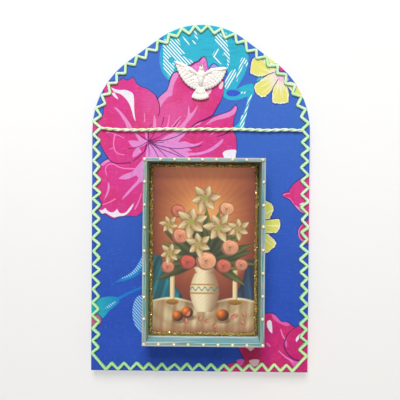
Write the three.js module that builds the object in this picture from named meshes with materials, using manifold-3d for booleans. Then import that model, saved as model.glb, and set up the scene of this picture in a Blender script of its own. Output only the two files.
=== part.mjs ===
// Devotional wall shrine: an arch-topped board in a printed cotton cover, with a rickrack
// edge, a twisted cord across it, a shallow painted box that holds a picture card, and a
// moulded dove. Millimetres, +Z up, the front faces -Y and the back lies on the wall, Y = 0.
// The origin is on the back face, at the middle of the line where the arch springs.
import * as THREE from 'three';
import { mergeVertices } from 'three/addons/utils/BufferGeometryUtils.js';
import Module from 'manifold-3d';

// Clearance between pieces that are laid beside each other
const fit = 0.3;

// Back board, with a three-centred arch
const boardWidth = 175;
const boardHeight = 280;
const boardThickness = 6;
const archRise = 85.5;
const shoulderRadius = 69;
const crownRadius = 57;

// Cotton cover, wrapped round the board's edge and turned over on its back
const clothThickness = 0.5;
const wrapSlack = 0.25;
const turnoverWidth = 14;

// Card lining on the back
const liningThickness = 1;
const liningMargin = 4;

// Sawtooth hanger, let into the back below the crown
const hangerDrop = 36;
const hangerLength = 42;
const hangerHeight = 8;
const hangerGauge = 0.75;
const hangerLift = 1.75;
const hangerTab = 8;
const hangerRamp = 2;
const toothPitch = 2;
const toothHeight = 1.2;
const pocketDepth = 1.5;
const pocketMargin = 2;
const nailRoom = 8;
const tackHeadRadius = 1.7;
const tackHeadHeight = 0.75;
const tackShankRadius = 0.6;
const tackLength = 3.5;
const tackPoint = 1;

// Rickrack round the front edge
const trimWidth = 8.4;
const trimStrand = 2.4;
const trimThickness = 1.1;
const trimInset = 0.3;
const trimPitch = 10.5;
const cornerRise = 14;
const cornerRun = 12.5;
const trimJoinDrop = 6;

// Twisted cord across the front, near the spring of the arch
const cordDiameter = 2.6;
const cordHeight = 1.3;
const cordSway = [0.7, -0.5, -0.7, -0.3, 0.3, -0.2, 0.4, 0.1, 0.5, 0.1, -0.3, 0.2, -0.3];

// Painted box on the front: its top is below the cord, its bottom clear of the lower rickrack
const boxWidth = 94;
const boxDepth = 21;
const boxWall = 3;
const boxFloor = 3;
const boxDrop = 23;
const boxFootMargin = 26.5;
const boxShift = 3;
const easedEdge = 0.4;

// Picture card and the bead of glitter glue round it
const cardThickness = 0.5;
const cardCorner = 2.5;
const beadWidth = 3.2;
const beadHeight = 1.8;
const beadCorner = 2.6;

// Relief-paint dots on the box's front edges, corners included
const dotsAcross = 9;
const dotsDown = 9;
const dotRadius = 1.3;
const dotHeight = 1.2;

// Moulded dove and the pad of glue behind it
const doveDrop = 43.2;
const doveShift = -0.4;
const wingReach = 20.9;
const leftTipHeight = 13.1;
const rightTipHeight = 7.9;
const shoulderPlace = [1.5, 2.2];
const armpitPlace = [2.2, -1.5];
const wristReach = 10;
const wristLift = 4.4;
const wristFollow = 0.3;
const hemTuck = 1.8;
const hemFall = 9.5;
const hemBelly = [12, -8.4];
const hemEnd = [2.8, -9];
const armWidth = 3.4;
const armHeight = 3.2;
const quillCount = 9;
const quillWidth = 3.5;
const quillHeight = 2;
const quillLay = 0.04;
const covertRise = 0.7;
const rootSetback = 0.5;
const tailQuills = 5;
const tailLength = 12;
const tailHalfAngle = 0.53;
const tailShift = -0.4;
const tailRootRadius = 0.6;
const bodyShift = 0.4;
const bodyHalfLength = 9;
const chestRadius = 4.6;
const headRadius = 2.4;
const beakLength = 2.8;
const beakShift = 0.2;
const beakTilt = 0.35;
const reliefDepth = 5;
const reliefSink = 0.125;
const padRadius = 4.5;
const padThickness = 0.75;

// Planes, from the wall to the front
const turnoverPlane = -liningThickness;
const boardBackPlane = turnoverPlane - clothThickness;
const boardFrontPlane = boardBackPlane - boardThickness;
const clothPlane = boardFrontPlane - clothThickness;
const floorPlane = clothPlane - boxFloor;
const cardPlane = floorPlane - cardThickness;
const boxFrontPlane = clothPlane - boxDepth;

// Places worked out from the sizes
const halfBoard = boardWidth / 2;
const foot = archRise - boardHeight;
const wrap = wrapSlack + clothThickness;
const hangerLevel = archRise - hangerDrop;
const doveLevel = archRise - doveDrop;
const boxHeight = -foot - boxDrop - boxFootMargin;
const recessWidth = boxWidth - 2 * boxWall;
const recessHeight = boxHeight - 2 * boxWall;
const boxLevel = -boxDrop - boxHeight / 2;

const wasm = await Module();
wasm.setup();

const shrine = new THREE.Group();

const finishes = {
  mdf: new THREE.MeshStandardMaterial({ color: 0xb8946a, roughness: 0.8 }),
  cotton: new THREE.MeshStandardMaterial({ color: 0x3f66bd, roughness: 0.85 }),
  lining: new THREE.MeshStandardMaterial({ color: 0xa98a64, roughness: 0.9 }),
  steel: new THREE.MeshStandardMaterial({ color: 0xb9bcc0, roughness: 0.35, metalness: 1 }),
  lime: new THREE.MeshStandardMaterial({ color: 0xaff58c, roughness: 0.8 }),
  teal: new THREE.MeshStandardMaterial({ color: 0x3caaaa, roughness: 0.6 }),
  picture: new THREE.MeshStandardMaterial({ color: 0xb87a4a, roughness: 0.3 }),
  glitter: new THREE.MeshStandardMaterial({ color: 0xa08a30, roughness: 0.35, metalness: 0.4 }),
  gold: new THREE.MeshStandardMaterial({ color: 0xdcb86e, roughness: 0.35, metalness: 0.5 }),
  ivory: new THREE.MeshStandardMaterial({ color: 0xf4efe0, roughness: 0.45 }),
  glue: new THREE.MeshStandardMaterial({ color: 0xe6e2d2, roughness: 0.3 }),
};

function add(name, finish, geometry, x = 0, y = 0, z = 0) {
  const mesh = new THREE.Mesh(geometry, finishes[finish].clone());
  mesh.name = name;
  mesh.position.set(x, y, z);
  shrine.add(mesh);
  return mesh;
}

// Merges a geometry's shared vertices and drops the triangles that close up at a pole.
function weld(geometry) {
  const bare = geometry.clone();
  bare.deleteAttribute('normal');
  bare.deleteAttribute('uv');
  const merged = mergeVertices(bare);
  const kept = [];
  for (let i = 0; i < merged.index.count; i += 3) {
    const corners = [merged.index.getX(i), merged.index.getX(i + 1), merged.index.getX(i + 2)];
    if (new Set(corners).size === 3) kept.push(...corners);
  }
  merged.setIndex(kept);
  return merged;
}

function toSolid(geometry) {
  const welded = weld(geometry);
  const vertProperties = new Float32Array(welded.attributes.position.array);
  const triVerts = new Uint32Array(welded.index.array);
  return new wasm.Manifold(new wasm.Mesh({ numProp: 3, vertProperties, triVerts }));
}

function toGeometry(solid) {
  const mesh = solid.getMesh();
  const geometry = new THREE.BufferGeometry();
  geometry.setAttribute('position', new THREE.BufferAttribute(mesh.vertProperties, 3));
  geometry.setIndex(new THREE.BufferAttribute(mesh.triVerts, 1));
  geometry.computeVertexNormals();
  return geometry;
}

function cut(body, ...cutters) {
  return toGeometry(cutters.reduce((solid, tool) => solid.subtract(toSolid(tool)), toSolid(body)));
}

function join(pieces) {
  return pieces.map(toSolid).reduce((whole, solid) => whole.add(solid));
}

// A flat plate: a shape seen from the front, from Y = 0 forward to Y = -thickness.
function plate(shape, thickness, curveSegments = 8) {
  const geometry = new THREE.ExtrudeGeometry(shape, {
    depth: thickness, bevelEnabled: false, curveSegments,
  });
  return geometry.rotateX(Math.PI / 2);
}

// The same plate as a cutter, which also reaches back past Y = 0 by overrun.
function cutter(shape, depth, overrun = 1) {
  return plate(shape, depth + overrun).translate(0, overrun, 0);
}

// A cutter that starts at a depth behind the back face and leaves a skin in front.
function pocketCutter(shape, from, depth) {
  return plate(shape, depth).translate(0, -from, 0);
}

function rectangle(width, height, x = 0, y = 0) {
  const shape = new THREE.Shape();
  shape.moveTo(x - width / 2, y - height / 2);
  shape.lineTo(x + width / 2, y - height / 2);
  shape.lineTo(x + width / 2, y + height / 2);
  shape.lineTo(x - width / 2, y + height / 2);
  shape.closePath();
  return shape;
}

// Angle at which the shoulder arc runs out into the straight that meets the crown arc.
function tangentAngle() {
  const link = new THREE.Vector2(shoulderRadius - halfBoard, archRise - crownRadius);
  return link.angle() - Math.acos((shoulderRadius - crownRadius) / link.length());
}

// Outline of the board, grown outward by grow all round.
function archOutline(grow) {
  const angle = tangentAngle();
  const shoulder = halfBoard - shoulderRadius;
  const shape = new THREE.Shape();
  shape.moveTo(-halfBoard - grow, foot - grow);
  shape.lineTo(halfBoard + grow, foot - grow);
  shape.absarc(shoulder, 0, shoulderRadius + grow, 0, angle);
  shape.absarc(0, archRise - crownRadius, crownRadius + grow, angle, Math.PI - angle);
  shape.absarc(-shoulder, 0, shoulderRadius + grow, Math.PI - angle, Math.PI);
  shape.closePath();
  return shape;
}

// Opening for the hanger: as wide as the plate, with room below it for the wall's nail.
function hangerWindow(margin) {
  const width = hangerLength + 2 * margin;
  const height = hangerHeight + nailRoom + 2 * margin;
  return rectangle(width, height, 0, hangerLevel - nailRoom / 2);
}

function tackPlaces() {
  const reach = hangerLength / 2 - hangerTab / 2;
  return [-reach, reach];
}

function backBoard() {
  const holeRadius = tackShankRadius + fit;
  const holeDepth = pocketDepth + tackLength - hangerGauge + fit;
  const holes = tackPlaces().map((x) => {
    const hole = new THREE.CylinderGeometry(holeRadius, holeRadius, holeDepth, 12);
    return hole.translate(x, -holeDepth / 2, hangerLevel);
  });
  const pocket = cutter(hangerWindow(pocketMargin / 2), pocketDepth);
  return cut(plate(archOutline(0), boardThickness), pocket, ...holes);
}

function cottonCover() {
  const depth = boardThickness + 2 * clothThickness;
  return cut(
    plate(archOutline(wrap), depth),
    pocketCutter(archOutline(wrapSlack), clothThickness, boardThickness),
    cutter(archOutline(-turnoverWidth), 2 * clothThickness),
  );
}

function backLining() {
  const window = cutter(hangerWindow(pocketMargin), 2 * liningThickness);
  return cut(plate(archOutline(-liningMargin), liningThickness), window);
}

// Strip bent into two tabs and a raised bridge, with teeth along the bridge's lower edge.
function hangerPlate() {
  const end = hangerLength / 2;
  const tab = end - hangerTab;
  const bridge = tab - hangerRamp;
  const half = [[end, 0], [tab, 0], [bridge, hangerLift]];
  const inner = [...half.map(([x, y]) => [-x, y]), ...half.map(([x, y]) => [x, y]).reverse()];
  const outer = [...inner].reverse().map(([x, y]) => [x, y + hangerGauge]);
  const profile = new THREE.Shape([...inner, ...outer].map(([x, y]) => new THREE.Vector2(x, y)));
  const strip = new THREE.ExtrudeGeometry(profile, { depth: hangerHeight, bevelEnabled: false });
  strip.translate(0, 0, -hangerHeight / 2);
  const teeth = Math.floor((2 * bridge) / toothPitch);
  const start = (-teeth * toothPitch) / 2;
  const edge = [[start, -toothHeight]];
  for (let i = 0; i < teeth; i += 1) {
    edge.push([start + i * toothPitch, 0], [start + (i + 0.5) * toothPitch, toothHeight]);
  }
  edge.push([-start, 0], [-start, -toothHeight]);
  const lower = edge.reverse().map(([x, y]) => new THREE.Vector2(x, y - hangerHeight / 2));
  const deep = 4 * (hangerLift + hangerGauge);
  const notches = plate(new THREE.Shape(lower), deep).translate(0, deep / 2, 0);
  const holeRadius = tackShankRadius + fit;
  const holes = tackPlaces().map((x) => (
    new THREE.CylinderGeometry(holeRadius, holeRadius, deep, 12).translate(x, 0, 0)
  ));
  return cut(strip, notches, ...holes);
}

// Tack turned about Y, its head's underside at Y = 0 and its point forward.
function tack() {
  const profile = [
    [0, -tackLength], [tackShankRadius, tackPoint - tackLength], [tackShankRadius, 0],
    [tackHeadRadius, 0], [tackHeadRadius, tackHeadHeight / 2], [0, tackHeadHeight],
  ];
  return new THREE.LatheGeometry(profile.map(([r, y]) => new THREE.Vector2(r, y)), 12);
}

function addBack() {
  const pocketPlane = boardBackPlane - pocketDepth;
  add('back_board', 'mdf', backBoard(), 0, boardBackPlane);
  add('cotton_cover', 'cotton', cottonCover(), 0, turnoverPlane);
  add('back_lining', 'lining', backLining());
  add('hanger_plate', 'steel', hangerPlate(), 0, pocketPlane, hangerLevel);
  const [left, right] = tackPlaces();
  add('hanger_tack_left', 'steel', tack(), left, pocketPlane + hangerGauge, hangerLevel);
  add('hanger_tack_right', 'steel', tack(), right, pocketPlane + hangerGauge, hangerLevel);
}

// Turns of the zigzag along one run of a path: outer and inner by turns, outer at both ends.
function zigzagAlong(path) {
  const swing = (trimWidth - trimStrand) / 2;
  const halfWaves = 2 * Math.round(path.getLength() / trimPitch);
  const turns = [];
  for (let i = 0; i <= halfWaves; i += 1) {
    const place = path.getPoint(i / halfWaves);
    const along = path.getTangent(i / halfWaves);
    const outward = new THREE.Vector2(-along.y, along.x);
    turns.push(place.addScaledVector(outward, i % 2 === 0 ? swing : -swing));
  }
  return turns;
}

// All turns of the rickrack, clockwise from the foot of the left side. It cuts each lower
// corner on a slant, from the last outer turn of one side to the first of the next.
function trimTurns() {
  const grow = wrap - trimInset - trimWidth / 2;
  const angle = tangentAngle();
  const shoulder = halfBoard - shoulderRadius;
  const start = foot - wrap + cornerRise;
  const over = new THREE.Path();
  over.moveTo(-halfBoard - grow, start);
  over.lineTo(-halfBoard - grow, 0);
  over.absarc(-shoulder, 0, shoulderRadius + grow, Math.PI, Math.PI - angle, true);
  over.absarc(0, archRise - crownRadius, crownRadius + grow, Math.PI - angle, angle, true);
  over.absarc(shoulder, 0, shoulderRadius + grow, angle, 0, true);
  over.lineTo(halfBoard + grow, start);
  const reach = halfBoard + wrap - cornerRun;
  const under = new THREE.Path();
  under.moveTo(reach, foot - grow);
  under.lineTo(-reach, foot - grow);
  return [...zigzagAlong(over), ...zigzagAlong(under)];
}

// Outline of a strand of even width along a route: mitred inside each bend, round outside.
function strandOutline(route, width, bendSteps = 2) {
  const half = width / 2;
  const direction = (a, b) => b.clone().sub(a).normalize();
  const beside = (point, angle, reach) => (
    new THREE.Vector2(point.x + reach * Math.cos(angle), point.y + reach * Math.sin(angle))
  );
  const left = [];
  const right = [];
  const quarter = Math.PI / 2;
  route.forEach((point, i) => {
    const previous = route[i - 1] ?? point;
    const next = route[i + 1] ?? point;
    const isEnd = previous === point || next === point;
    const before = (previous === point ? direction(point, next) : direction(previous, point)).angle();
    const after = next === point ? before : direction(point, next).angle();
    const bend = Math.atan2(Math.sin(after - before), Math.cos(after - before));
    const inside = Math.sign(bend || 1) * quarter;
    const mitre = beside(point, before + bend / 2 + inside, half / Math.cos(bend / 2));
    const round = [];
    for (let k = 0; k <= bendSteps; k += 1) {
      round.push(beside(point, before + (bend * k) / bendSteps - inside, half));
    }
    const outside = isEnd ? [round[0]] : round;
    (bend < 0 ? right : left).push(mitre);
    (bend < 0 ? left : right).push(...outside);
  });
  return new THREE.Shape([...left, ...right.reverse()]);
}

// The rickrack's ends meet in the middle of a strand on the left side, below the cord.
function rickrack() {
  const turns = trimTurns();
  const upper = turns.findIndex((turn) => turn.y > -trimJoinDrop);
  const along = turns[upper].clone().sub(turns[upper - 1]).normalize();
  const middle = turns[upper].clone().add(turns[upper - 1]).multiplyScalar(0.5);
  const first = middle.clone().addScaledVector(along, fit / 2);
  const last = middle.clone().addScaledVector(along, -fit / 2);
  const route = [first, ...turns.slice(upper), ...turns.slice(0, upper), last];
  return plate(strandOutline(route, trimStrand), trimThickness);
}

// Cord of eight flats that lies on the cloth and ends at the rickrack's inner turns.
function dividerCord() {
  const reach = halfBoard + wrap - trimInset - trimWidth - fit;
  const rest = cordDiameter / 2;
  const last = cordSway.length - 1;
  const points = cordSway.map((sway, i) => (
    new THREE.Vector3((2 * i / last - 1) * reach, -rest, sway)
  ));
  const corner = rest / Math.cos(Math.PI / 8);
  const section = new THREE.Shape();
  for (let k = 0; k < 8; k += 1) {
    const angle = ((k + 0.5) * Math.PI) / 4;
    const move = k === 0 ? 'moveTo' : 'lineTo';
    section[move](corner * Math.cos(angle), corner * Math.sin(angle));
  }
  section.closePath();
  const extrudePath = new THREE.CatmullRomCurve3(points);
  return new THREE.ExtrudeGeometry(section, { steps: 4 * last, extrudePath, bevelEnabled: false });
}

function addTrim() {
  add('rickrack_trim', 'lime', rickrack(), 0, clothPlane);
  add('divider_cord', 'lime', dividerCord(), 0, clothPlane, cordHeight);
}

// Wall of the box: a board on edge with its two front edges eased, standing along Z.
function wallStrip(length) {
  const half = boxWall / 2;
  const section = new THREE.Shape();
  section.moveTo(half, 0);
  section.lineTo(-half, 0);
  section.lineTo(-half, easedEdge - boxDepth);
  section.absarc(easedEdge - half, easedEdge - boxDepth, easedEdge, Math.PI, 1.5 * Math.PI);
  section.lineTo(half - easedEdge, -boxDepth);
  section.absarc(half - easedEdge, easedEdge - boxDepth, easedEdge, 1.5 * Math.PI, 2 * Math.PI);
  section.closePath();
  const strip = new THREE.ExtrudeGeometry(section, {
    depth: length, bevelEnabled: false, curveSegments: 2,
  });
  return strip.translate(0, 0, -length / 2);
}

// Outline with round corners, as points with the direction that faces out of it.
function roundedLoop(width, height, radius, cornerSteps = 4) {
  const loop = [];
  for (let corner = 0; corner < 4; corner += 1) {
    for (let k = 0; k <= cornerSteps; k += 1) {
      const angle = (corner + k / cornerSteps) * (Math.PI / 2);
      const outward = new THREE.Vector2(Math.cos(angle), Math.sin(angle));
      const cornerX = (corner === 0 || corner === 3 ? 1 : -1) * (width / 2 - radius);
      const cornerY = (corner < 2 ? 1 : -1) * (height / 2 - radius);
      const place = new THREE.Vector2(cornerX, cornerY).addScaledVector(outward, radius);
      loop.push({ place, outward });
    }
  }
  return loop;
}

function pictureCard() {
  const loop = roundedLoop(recessWidth - 2 * fit, recessHeight - 2 * fit, cardCorner);
  return plate(new THREE.Shape(loop.map(({ place }) => place)), cardThickness);
}

// Half-round bead carried round the card's edge, flat where it lies on the card.
function glitterBead() {
  const inset = 2 * fit + beadWidth;
  const loop = roundedLoop(recessWidth - inset, recessHeight - inset, beadCorner);
  const steps = 6;
  const rows = steps + 1;
  const positions = [];
  const index = [];
  loop.forEach(({ place, outward }, i) => {
    for (let k = 0; k < rows; k += 1) {
      const angle = (Math.PI * k) / steps;
      const across = (beadWidth / 2) * Math.cos(angle);
      positions.push(
        place.x + outward.x * across, -beadHeight * Math.sin(angle), place.y + outward.y * across,
      );
      const a = i * rows + k;
      const b = i * rows + ((k + 1) % rows);
      const c = ((i + 1) % loop.length) * rows + k;
      const d = ((i + 1) % loop.length) * rows + ((k + 1) % rows);
      index.push(a, c, b, b, c, d);
    }
  });
  const geometry = new THREE.BufferGeometry();
  geometry.setAttribute('position', new THREE.Float32BufferAttribute(positions, 3));
  geometry.setIndex(index);
  geometry.computeVertexNormals();
  return geometry;
}

// Round drop of relief paint on the box's front edge.
function paintDot() {
  const steps = 3;
  const profile = [new THREE.Vector2(0, 0)];
  for (let k = 0; k <= steps; k += 1) {
    const angle = (k / steps) * (Math.PI / 2);
    profile.push(new THREE.Vector2(dotRadius * Math.cos(angle), dotHeight * Math.sin(angle)));
  }
  profile[profile.length - 1].x = 0;
  return new THREE.LatheGeometry(profile, 10).rotateX(Math.PI);
}

function addBox() {
  const standing = wallStrip(recessHeight);
  const lying = wallStrip(boxWidth).rotateY(Math.PI / 2);
  const side = (boxWidth - boxWall) / 2;
  const rise = (boxHeight - boxWall) / 2;
  add('box_top_wall', 'teal', lying.clone(), boxShift, clothPlane, boxLevel + rise);
  add('box_bottom_wall', 'teal', lying.clone(), boxShift, clothPlane, boxLevel - rise);
  add('box_left_wall', 'teal', standing.clone(), boxShift - side, clothPlane, boxLevel);
  add('box_right_wall', 'teal', standing.clone(), boxShift + side, clothPlane, boxLevel);
  const floor = plate(rectangle(recessWidth, recessHeight), boxFloor);
  add('box_floor', 'teal', floor, boxShift, clothPlane, boxLevel);
  add('picture_card', 'picture', pictureCard(), boxShift, floorPlane, boxLevel);
  add('glitter_bead', 'glitter', glitterBead(), boxShift, cardPlane, boxLevel);
}

function addDots() {
  const side = (boxWidth - boxWall) / 2;
  const rise = (boxHeight - boxWall) / 2;
  const dot = (name, x, z) => (
    add(name, 'gold', paintDot(), boxShift + x, boxFrontPlane, boxLevel + z)
  );
  for (let i = 0; i < dotsAcross; i += 1) {
    const x = (2 * i / (dotsAcross - 1) - 1) * side;
    dot(`paint_dot_top_${i + 1}`, x, rise);
    dot(`paint_dot_bottom_${i + 1}`, x, -rise);
  }
  for (let i = 1; i < dotsDown - 1; i += 1) {
    const z = (2 * i / (dotsDown - 1) - 1) * rise;
    dot(`paint_dot_left_${i}`, -side, z);
    dot(`paint_dot_right_${i}`, side, z);
  }
}

// Feather or limb: a long flattened egg from root to tip, seen from the front in X and Z,
// with its axis at Y = 0 and a flat of it facing the front.
function quill(root, tip, width, height) {
  const along = tip.clone().sub(root);
  const egg = new THREE.SphereGeometry(1, 8, 6).rotateZ(Math.PI / 2).rotateX(Math.PI / 8);
  const flats = Math.cos(Math.PI / 8);
  egg.scale(along.length() / 2, (height + reliefSink) / flats, width / 2 / flats);
  egg.rotateY(-along.angle());
  const middle = root.clone().add(tip).multiplyScalar(0.5);
  return egg.translate(middle.x, 0, middle.y);
}

// Wing: an arm from shoulder to tip, long quills that fan out from it to a scalloped lower
// edge, and two shorter rows of coverts laid over them.
function wing(side, tipHeight) {
  const place = ([x, z]) => new THREE.Vector2(side * x, z);
  const tip = place([wingReach, tipHeight]);
  const wrist = place([wristReach, wristLift + wristFollow * tipHeight]);
  const shoulder = place(shoulderPlace);
  const armpit = place(armpitPlace);
  const hem = new THREE.CubicBezierCurve(
    tip, place([wingReach - hemTuck, tipHeight - hemFall]), place(hemBelly), place(hemEnd),
  );
  const pieces = [
    quill(shoulder, wrist, armWidth, armHeight),
    quill(wrist.clone().lerp(shoulder, 0.25), tip, armWidth * 0.8, armHeight * 0.8),
  ];
  const rows = [{ reach: 1, scale: 1 }, { reach: 0.68, scale: 0.9 }, { reach: 0.42, scale: 0.8 }];
  rows.forEach(({ reach, scale }, row) => {
    const count = quillCount - 2 * row;
    for (let i = 0; i < count; i += 1) {
      const t = i / (count - 1);
      const root = wrist.clone().lerp(armpit, t);
      const end = root.clone().lerp(hem.getPoint(t), reach);
      const back = root.clone().sub(end).setLength(row * rootSetback);
      const height = quillHeight + row * covertRise + i * quillLay;
      pieces.push(quill(root.add(back), end, quillWidth * scale, height));
    }
  });
  return pieces;
}

function tail() {
  const root = new THREE.Vector2(tailShift, -bodyHalfLength * 0.55);
  const pieces = [];
  for (let i = 0; i < tailQuills; i += 1) {
    const angle = (2 * i / (tailQuills - 1) - 1) * tailHalfAngle - Math.PI / 2;
    const along = new THREE.Vector2(Math.cos(angle), Math.sin(angle));
    const start = root.clone().addScaledVector(along, tailRootRadius);
    const tip = root.clone().addScaledVector(along, tailLength);
    pieces.push(quill(start, tip, quillWidth, quillHeight + i * quillLay));
  }
  return pieces;
}

// Body turned about its length, from the root of the tail up through chest, neck and crown.
function doveBody() {
  const neckRadius = 0.55 * chestRadius;
  const top = bodyHalfLength + headRadius;
  const line = new THREE.SplineCurve([
    new THREE.Vector2(0, -bodyHalfLength),
    new THREE.Vector2(0.4 * chestRadius, -0.75 * bodyHalfLength),
    new THREE.Vector2(0.85 * chestRadius, -0.25 * bodyHalfLength),
    new THREE.Vector2(chestRadius, 0.15 * bodyHalfLength),
    new THREE.Vector2(neckRadius, 0.62 * bodyHalfLength),
    new THREE.Vector2(headRadius, 0.95 * bodyHalfLength),
    new THREE.Vector2(0.8 * headRadius, top - 0.5 * headRadius),
    new THREE.Vector2(0, top),
  ]);
  const profile = line.getPoints(14);
  profile[0].x = 0;
  profile[profile.length - 1].x = 0;
  const body = new THREE.LatheGeometry(profile, 14).rotateX(Math.PI / 2);
  return body.scale(1, (reliefDepth + reliefSink) / chestRadius, 1).translate(bodyShift, 0, 0);
}

function beak() {
  const cone = new THREE.ConeGeometry(0.4 * headRadius, beakLength, 8).rotateX(Math.PI / 2);
  cone.rotateX(beakTilt);
  return cone.translate(beakShift, -0.9 * headRadius, bodyHalfLength + 0.5 * headRadius);
}

// Relief, all its parts moulded in one. Its flat back is cut just in front of their axes.
function dove() {
  const wings = [...wing(-1, leftTipHeight), ...wing(1, rightTipHeight)];
  const pieces = [doveBody(), beak(), ...tail(), ...wings];
  const size = 3 * wingReach;
  const front = new THREE.BoxGeometry(size, size, size).translate(0, -size / 2 - reliefSink, 0);
  return toGeometry(join(pieces).intersect(toSolid(front))).translate(0, reliefSink, 0);
}

// Dab of glue pressed flat between the cloth and the dove.
function gluePad() {
  const profile = [
    [0, 0], [padRadius, 0], [padRadius + padThickness / 2, padThickness / 2],
    [padRadius, padThickness], [0, padThickness],
  ];
  const pad = new THREE.LatheGeometry(profile.map(([r, y]) => new THREE.Vector2(r, y)), 20);
  return pad.rotateX(Math.PI);
}

function addDove() {
  add('dove_glue_pad', 'glue', gluePad(), doveShift, clothPlane, doveLevel);
  add('dove', 'ivory', dove(), doveShift, clothPlane - padThickness, doveLevel);
}

addBack();
addTrim();
addBox();
addDots();
addDove();

export default shrine;
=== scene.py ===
"""Looks of a devotional wall shrine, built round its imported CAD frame.

An arch-topped board in printed cotton, with a rickrack edge, a twisted cord across it, a painted
box that holds a picture card, and a moulded dove. Shapes are worked out in millimetres and
stored in metres, +Z up; the front faces -Y and the wall is the plane Y = 0.
"""
import logging
import math
from dataclasses import dataclass
from enum import Enum
from typing import Sequence, Union

import bpy
import numpy as np
from mathutils import Matrix, Vector


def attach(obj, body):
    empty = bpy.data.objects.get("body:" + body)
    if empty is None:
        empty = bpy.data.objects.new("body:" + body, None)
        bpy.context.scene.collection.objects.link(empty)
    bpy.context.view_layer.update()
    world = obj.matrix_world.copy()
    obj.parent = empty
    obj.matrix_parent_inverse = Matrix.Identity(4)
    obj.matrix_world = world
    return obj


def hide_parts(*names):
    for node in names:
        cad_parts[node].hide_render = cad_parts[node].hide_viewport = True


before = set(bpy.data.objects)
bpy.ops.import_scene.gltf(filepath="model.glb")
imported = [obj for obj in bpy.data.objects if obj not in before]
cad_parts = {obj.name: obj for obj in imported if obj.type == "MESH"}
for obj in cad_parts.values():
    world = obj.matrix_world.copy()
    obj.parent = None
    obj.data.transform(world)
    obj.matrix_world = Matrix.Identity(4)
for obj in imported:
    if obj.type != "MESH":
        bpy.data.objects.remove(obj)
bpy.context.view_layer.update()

MM = 0.001
BODY = "root"
LOG = logging.getLogger("shrine")
ATTRIBUTE_KINDS = {1: ("FLOAT", "value"), 3: ("FLOAT_VECTOR", "vector"), 4: ("FLOAT_COLOR", "color")}

Triple = tuple[float, float, float]
Colour = tuple[float, float, float, float]


def node_box(node: str) -> np.ndarray:
    """Lowest and highest corner of a CAD node, in millimetres."""
    corners = np.array([corner[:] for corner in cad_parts[node].bound_box]) / MM
    return np.round([corners.min(0), corners.max(0)], 3)


# Places that the frame gives: each box is its lowest and its highest corner, each plane a Y
BOARD, COTTON = node_box("back_board"), node_box("cotton_cover")
CARD, GLUE_PAD = node_box("picture_card"), node_box("dove_glue_pad")
BOX = np.array([node_box("box_bottom_wall")[0], node_box("box_top_wall")[1]])
BOX_CENTRE, BOX_SIZE = BOX.mean(0)[[0, 2]], np.ptp(BOX, axis=0)[[0, 2]]
BOX_WALL = float(np.ptp(node_box("box_left_wall")[:, 0]))
CLOTH_BACK, CLOTH = float(COTTON[1, 1]), float(COTTON[0, 1])
CARD_FRONT, BOX_FRONT = float(CARD[0, 1]), float(BOX[0, 1])
CLOTH_OVERHANG = float(COTTON[1, 0] - BOARD[1, 0])


class Slot(Enum):
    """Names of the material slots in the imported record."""

    COTTON = "cotton"
    LIME_TRIM = "lime_trim"
    LIME_CORD = "lime_cord"
    CARD = "printed_card"
    GLITTER = "glitter_glue"
    GOLD = "gold_relief_paint"
    IVORY = "ivory_resin"


# Numpy shapes


def linear(channels: np.ndarray) -> np.ndarray:
    """Linear light of sRGB channels: ((c + 0.055) / 1.055) ** 2.4, or c / 12.92 where dark."""
    return np.where(channels <= 0.04045, channels / 12.92, ((channels + 0.055) / 1.055) ** 2.4)


def srgb(red: float, green: float, blue: float) -> Colour:
    """Linear RGBA of an sRGB colour with channels from 0 to 255."""
    return (*linear(np.array([red, green, blue]) / 255.0).tolist(), 1.0)


def smoothstep(low: float, high: float, value: np.ndarray) -> np.ndarray:
    """0 below low, 1 above high, and 3t^2 - 2t^3 between them; low may be the larger."""
    t = np.clip((value - low) / (high - low), 0.0, 1.0)
    return t * t * (3.0 - 2.0 * t)


def stand(x: np.ndarray | float, y: np.ndarray | float, z: np.ndarray | float) -> np.ndarray:
    """Points from their coordinates, each spread to the shape that all three share."""
    return np.stack(np.broadcast_arrays(x, y, z), -1)


def unit(vectors: np.ndarray) -> np.ndarray:
    """Vectors divided by their own lengths."""
    return vectors / np.linalg.norm(vectors, axis=-1, keepdims=True)


def left_of(along: np.ndarray) -> np.ndarray:
    """Directions in the plane turned a quarter to the left: (u, v) becomes (-v, u)."""
    return np.stack([-along[..., 1], along[..., 0]], -1)


def way_along(path: np.ndarray) -> np.ndarray:
    """Length of a polyline from its start up to each of its points."""
    return np.append(0.0, np.cumsum(np.linalg.norm(np.diff(path, axis=0), axis=1)))


def at_lengths(path: np.ndarray, lengths: np.ndarray) -> np.ndarray:
    """Places on a polyline at some lengths from its start, straight between its points."""
    way = way_along(path)
    return np.stack([np.interp(lengths, way, path[:, k]) for k in range(2)], -1)


def full_turn(count: int) -> np.ndarray:
    """Angles in radians that share a full turn evenly."""
    return np.linspace(0, 2 * np.pi, count, endpoint=False)


def grid_faces(rows: int, columns: int, wrap_rows: bool = False, wrap_columns: bool = False) -> np.ndarray:
    """Quads of a grid whose vertices are numbered row by row.

    Args:
        rows, columns: size of the grid.
        wrap_rows, wrap_columns: joins the last row or column to the first.

    Returns:
        Array of corner numbers, one quad a line.
    """
    i = np.arange(rows if wrap_rows else rows - 1)[:, None]
    j = np.arange(columns if wrap_columns else columns - 1)[None, :]
    below, right = (i + 1) % rows, (j + 1) % columns
    corners = (i * columns + j, i * columns + right, below * columns + right, below * columns + j)
    return np.stack(np.broadcast_arrays(*corners), -1).reshape(-1, 4)


def parse(text: str) -> tuple[np.ndarray, np.ndarray]:
    """Reads "x,z x,z! ..." as points and as flags of the sharp ones, marked with !."""
    words = text.split()
    points = np.array([[float(n) for n in word.rstrip("!").split(",")] for word in words])
    return points, np.array([word.endswith("!") for word in words])


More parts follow.
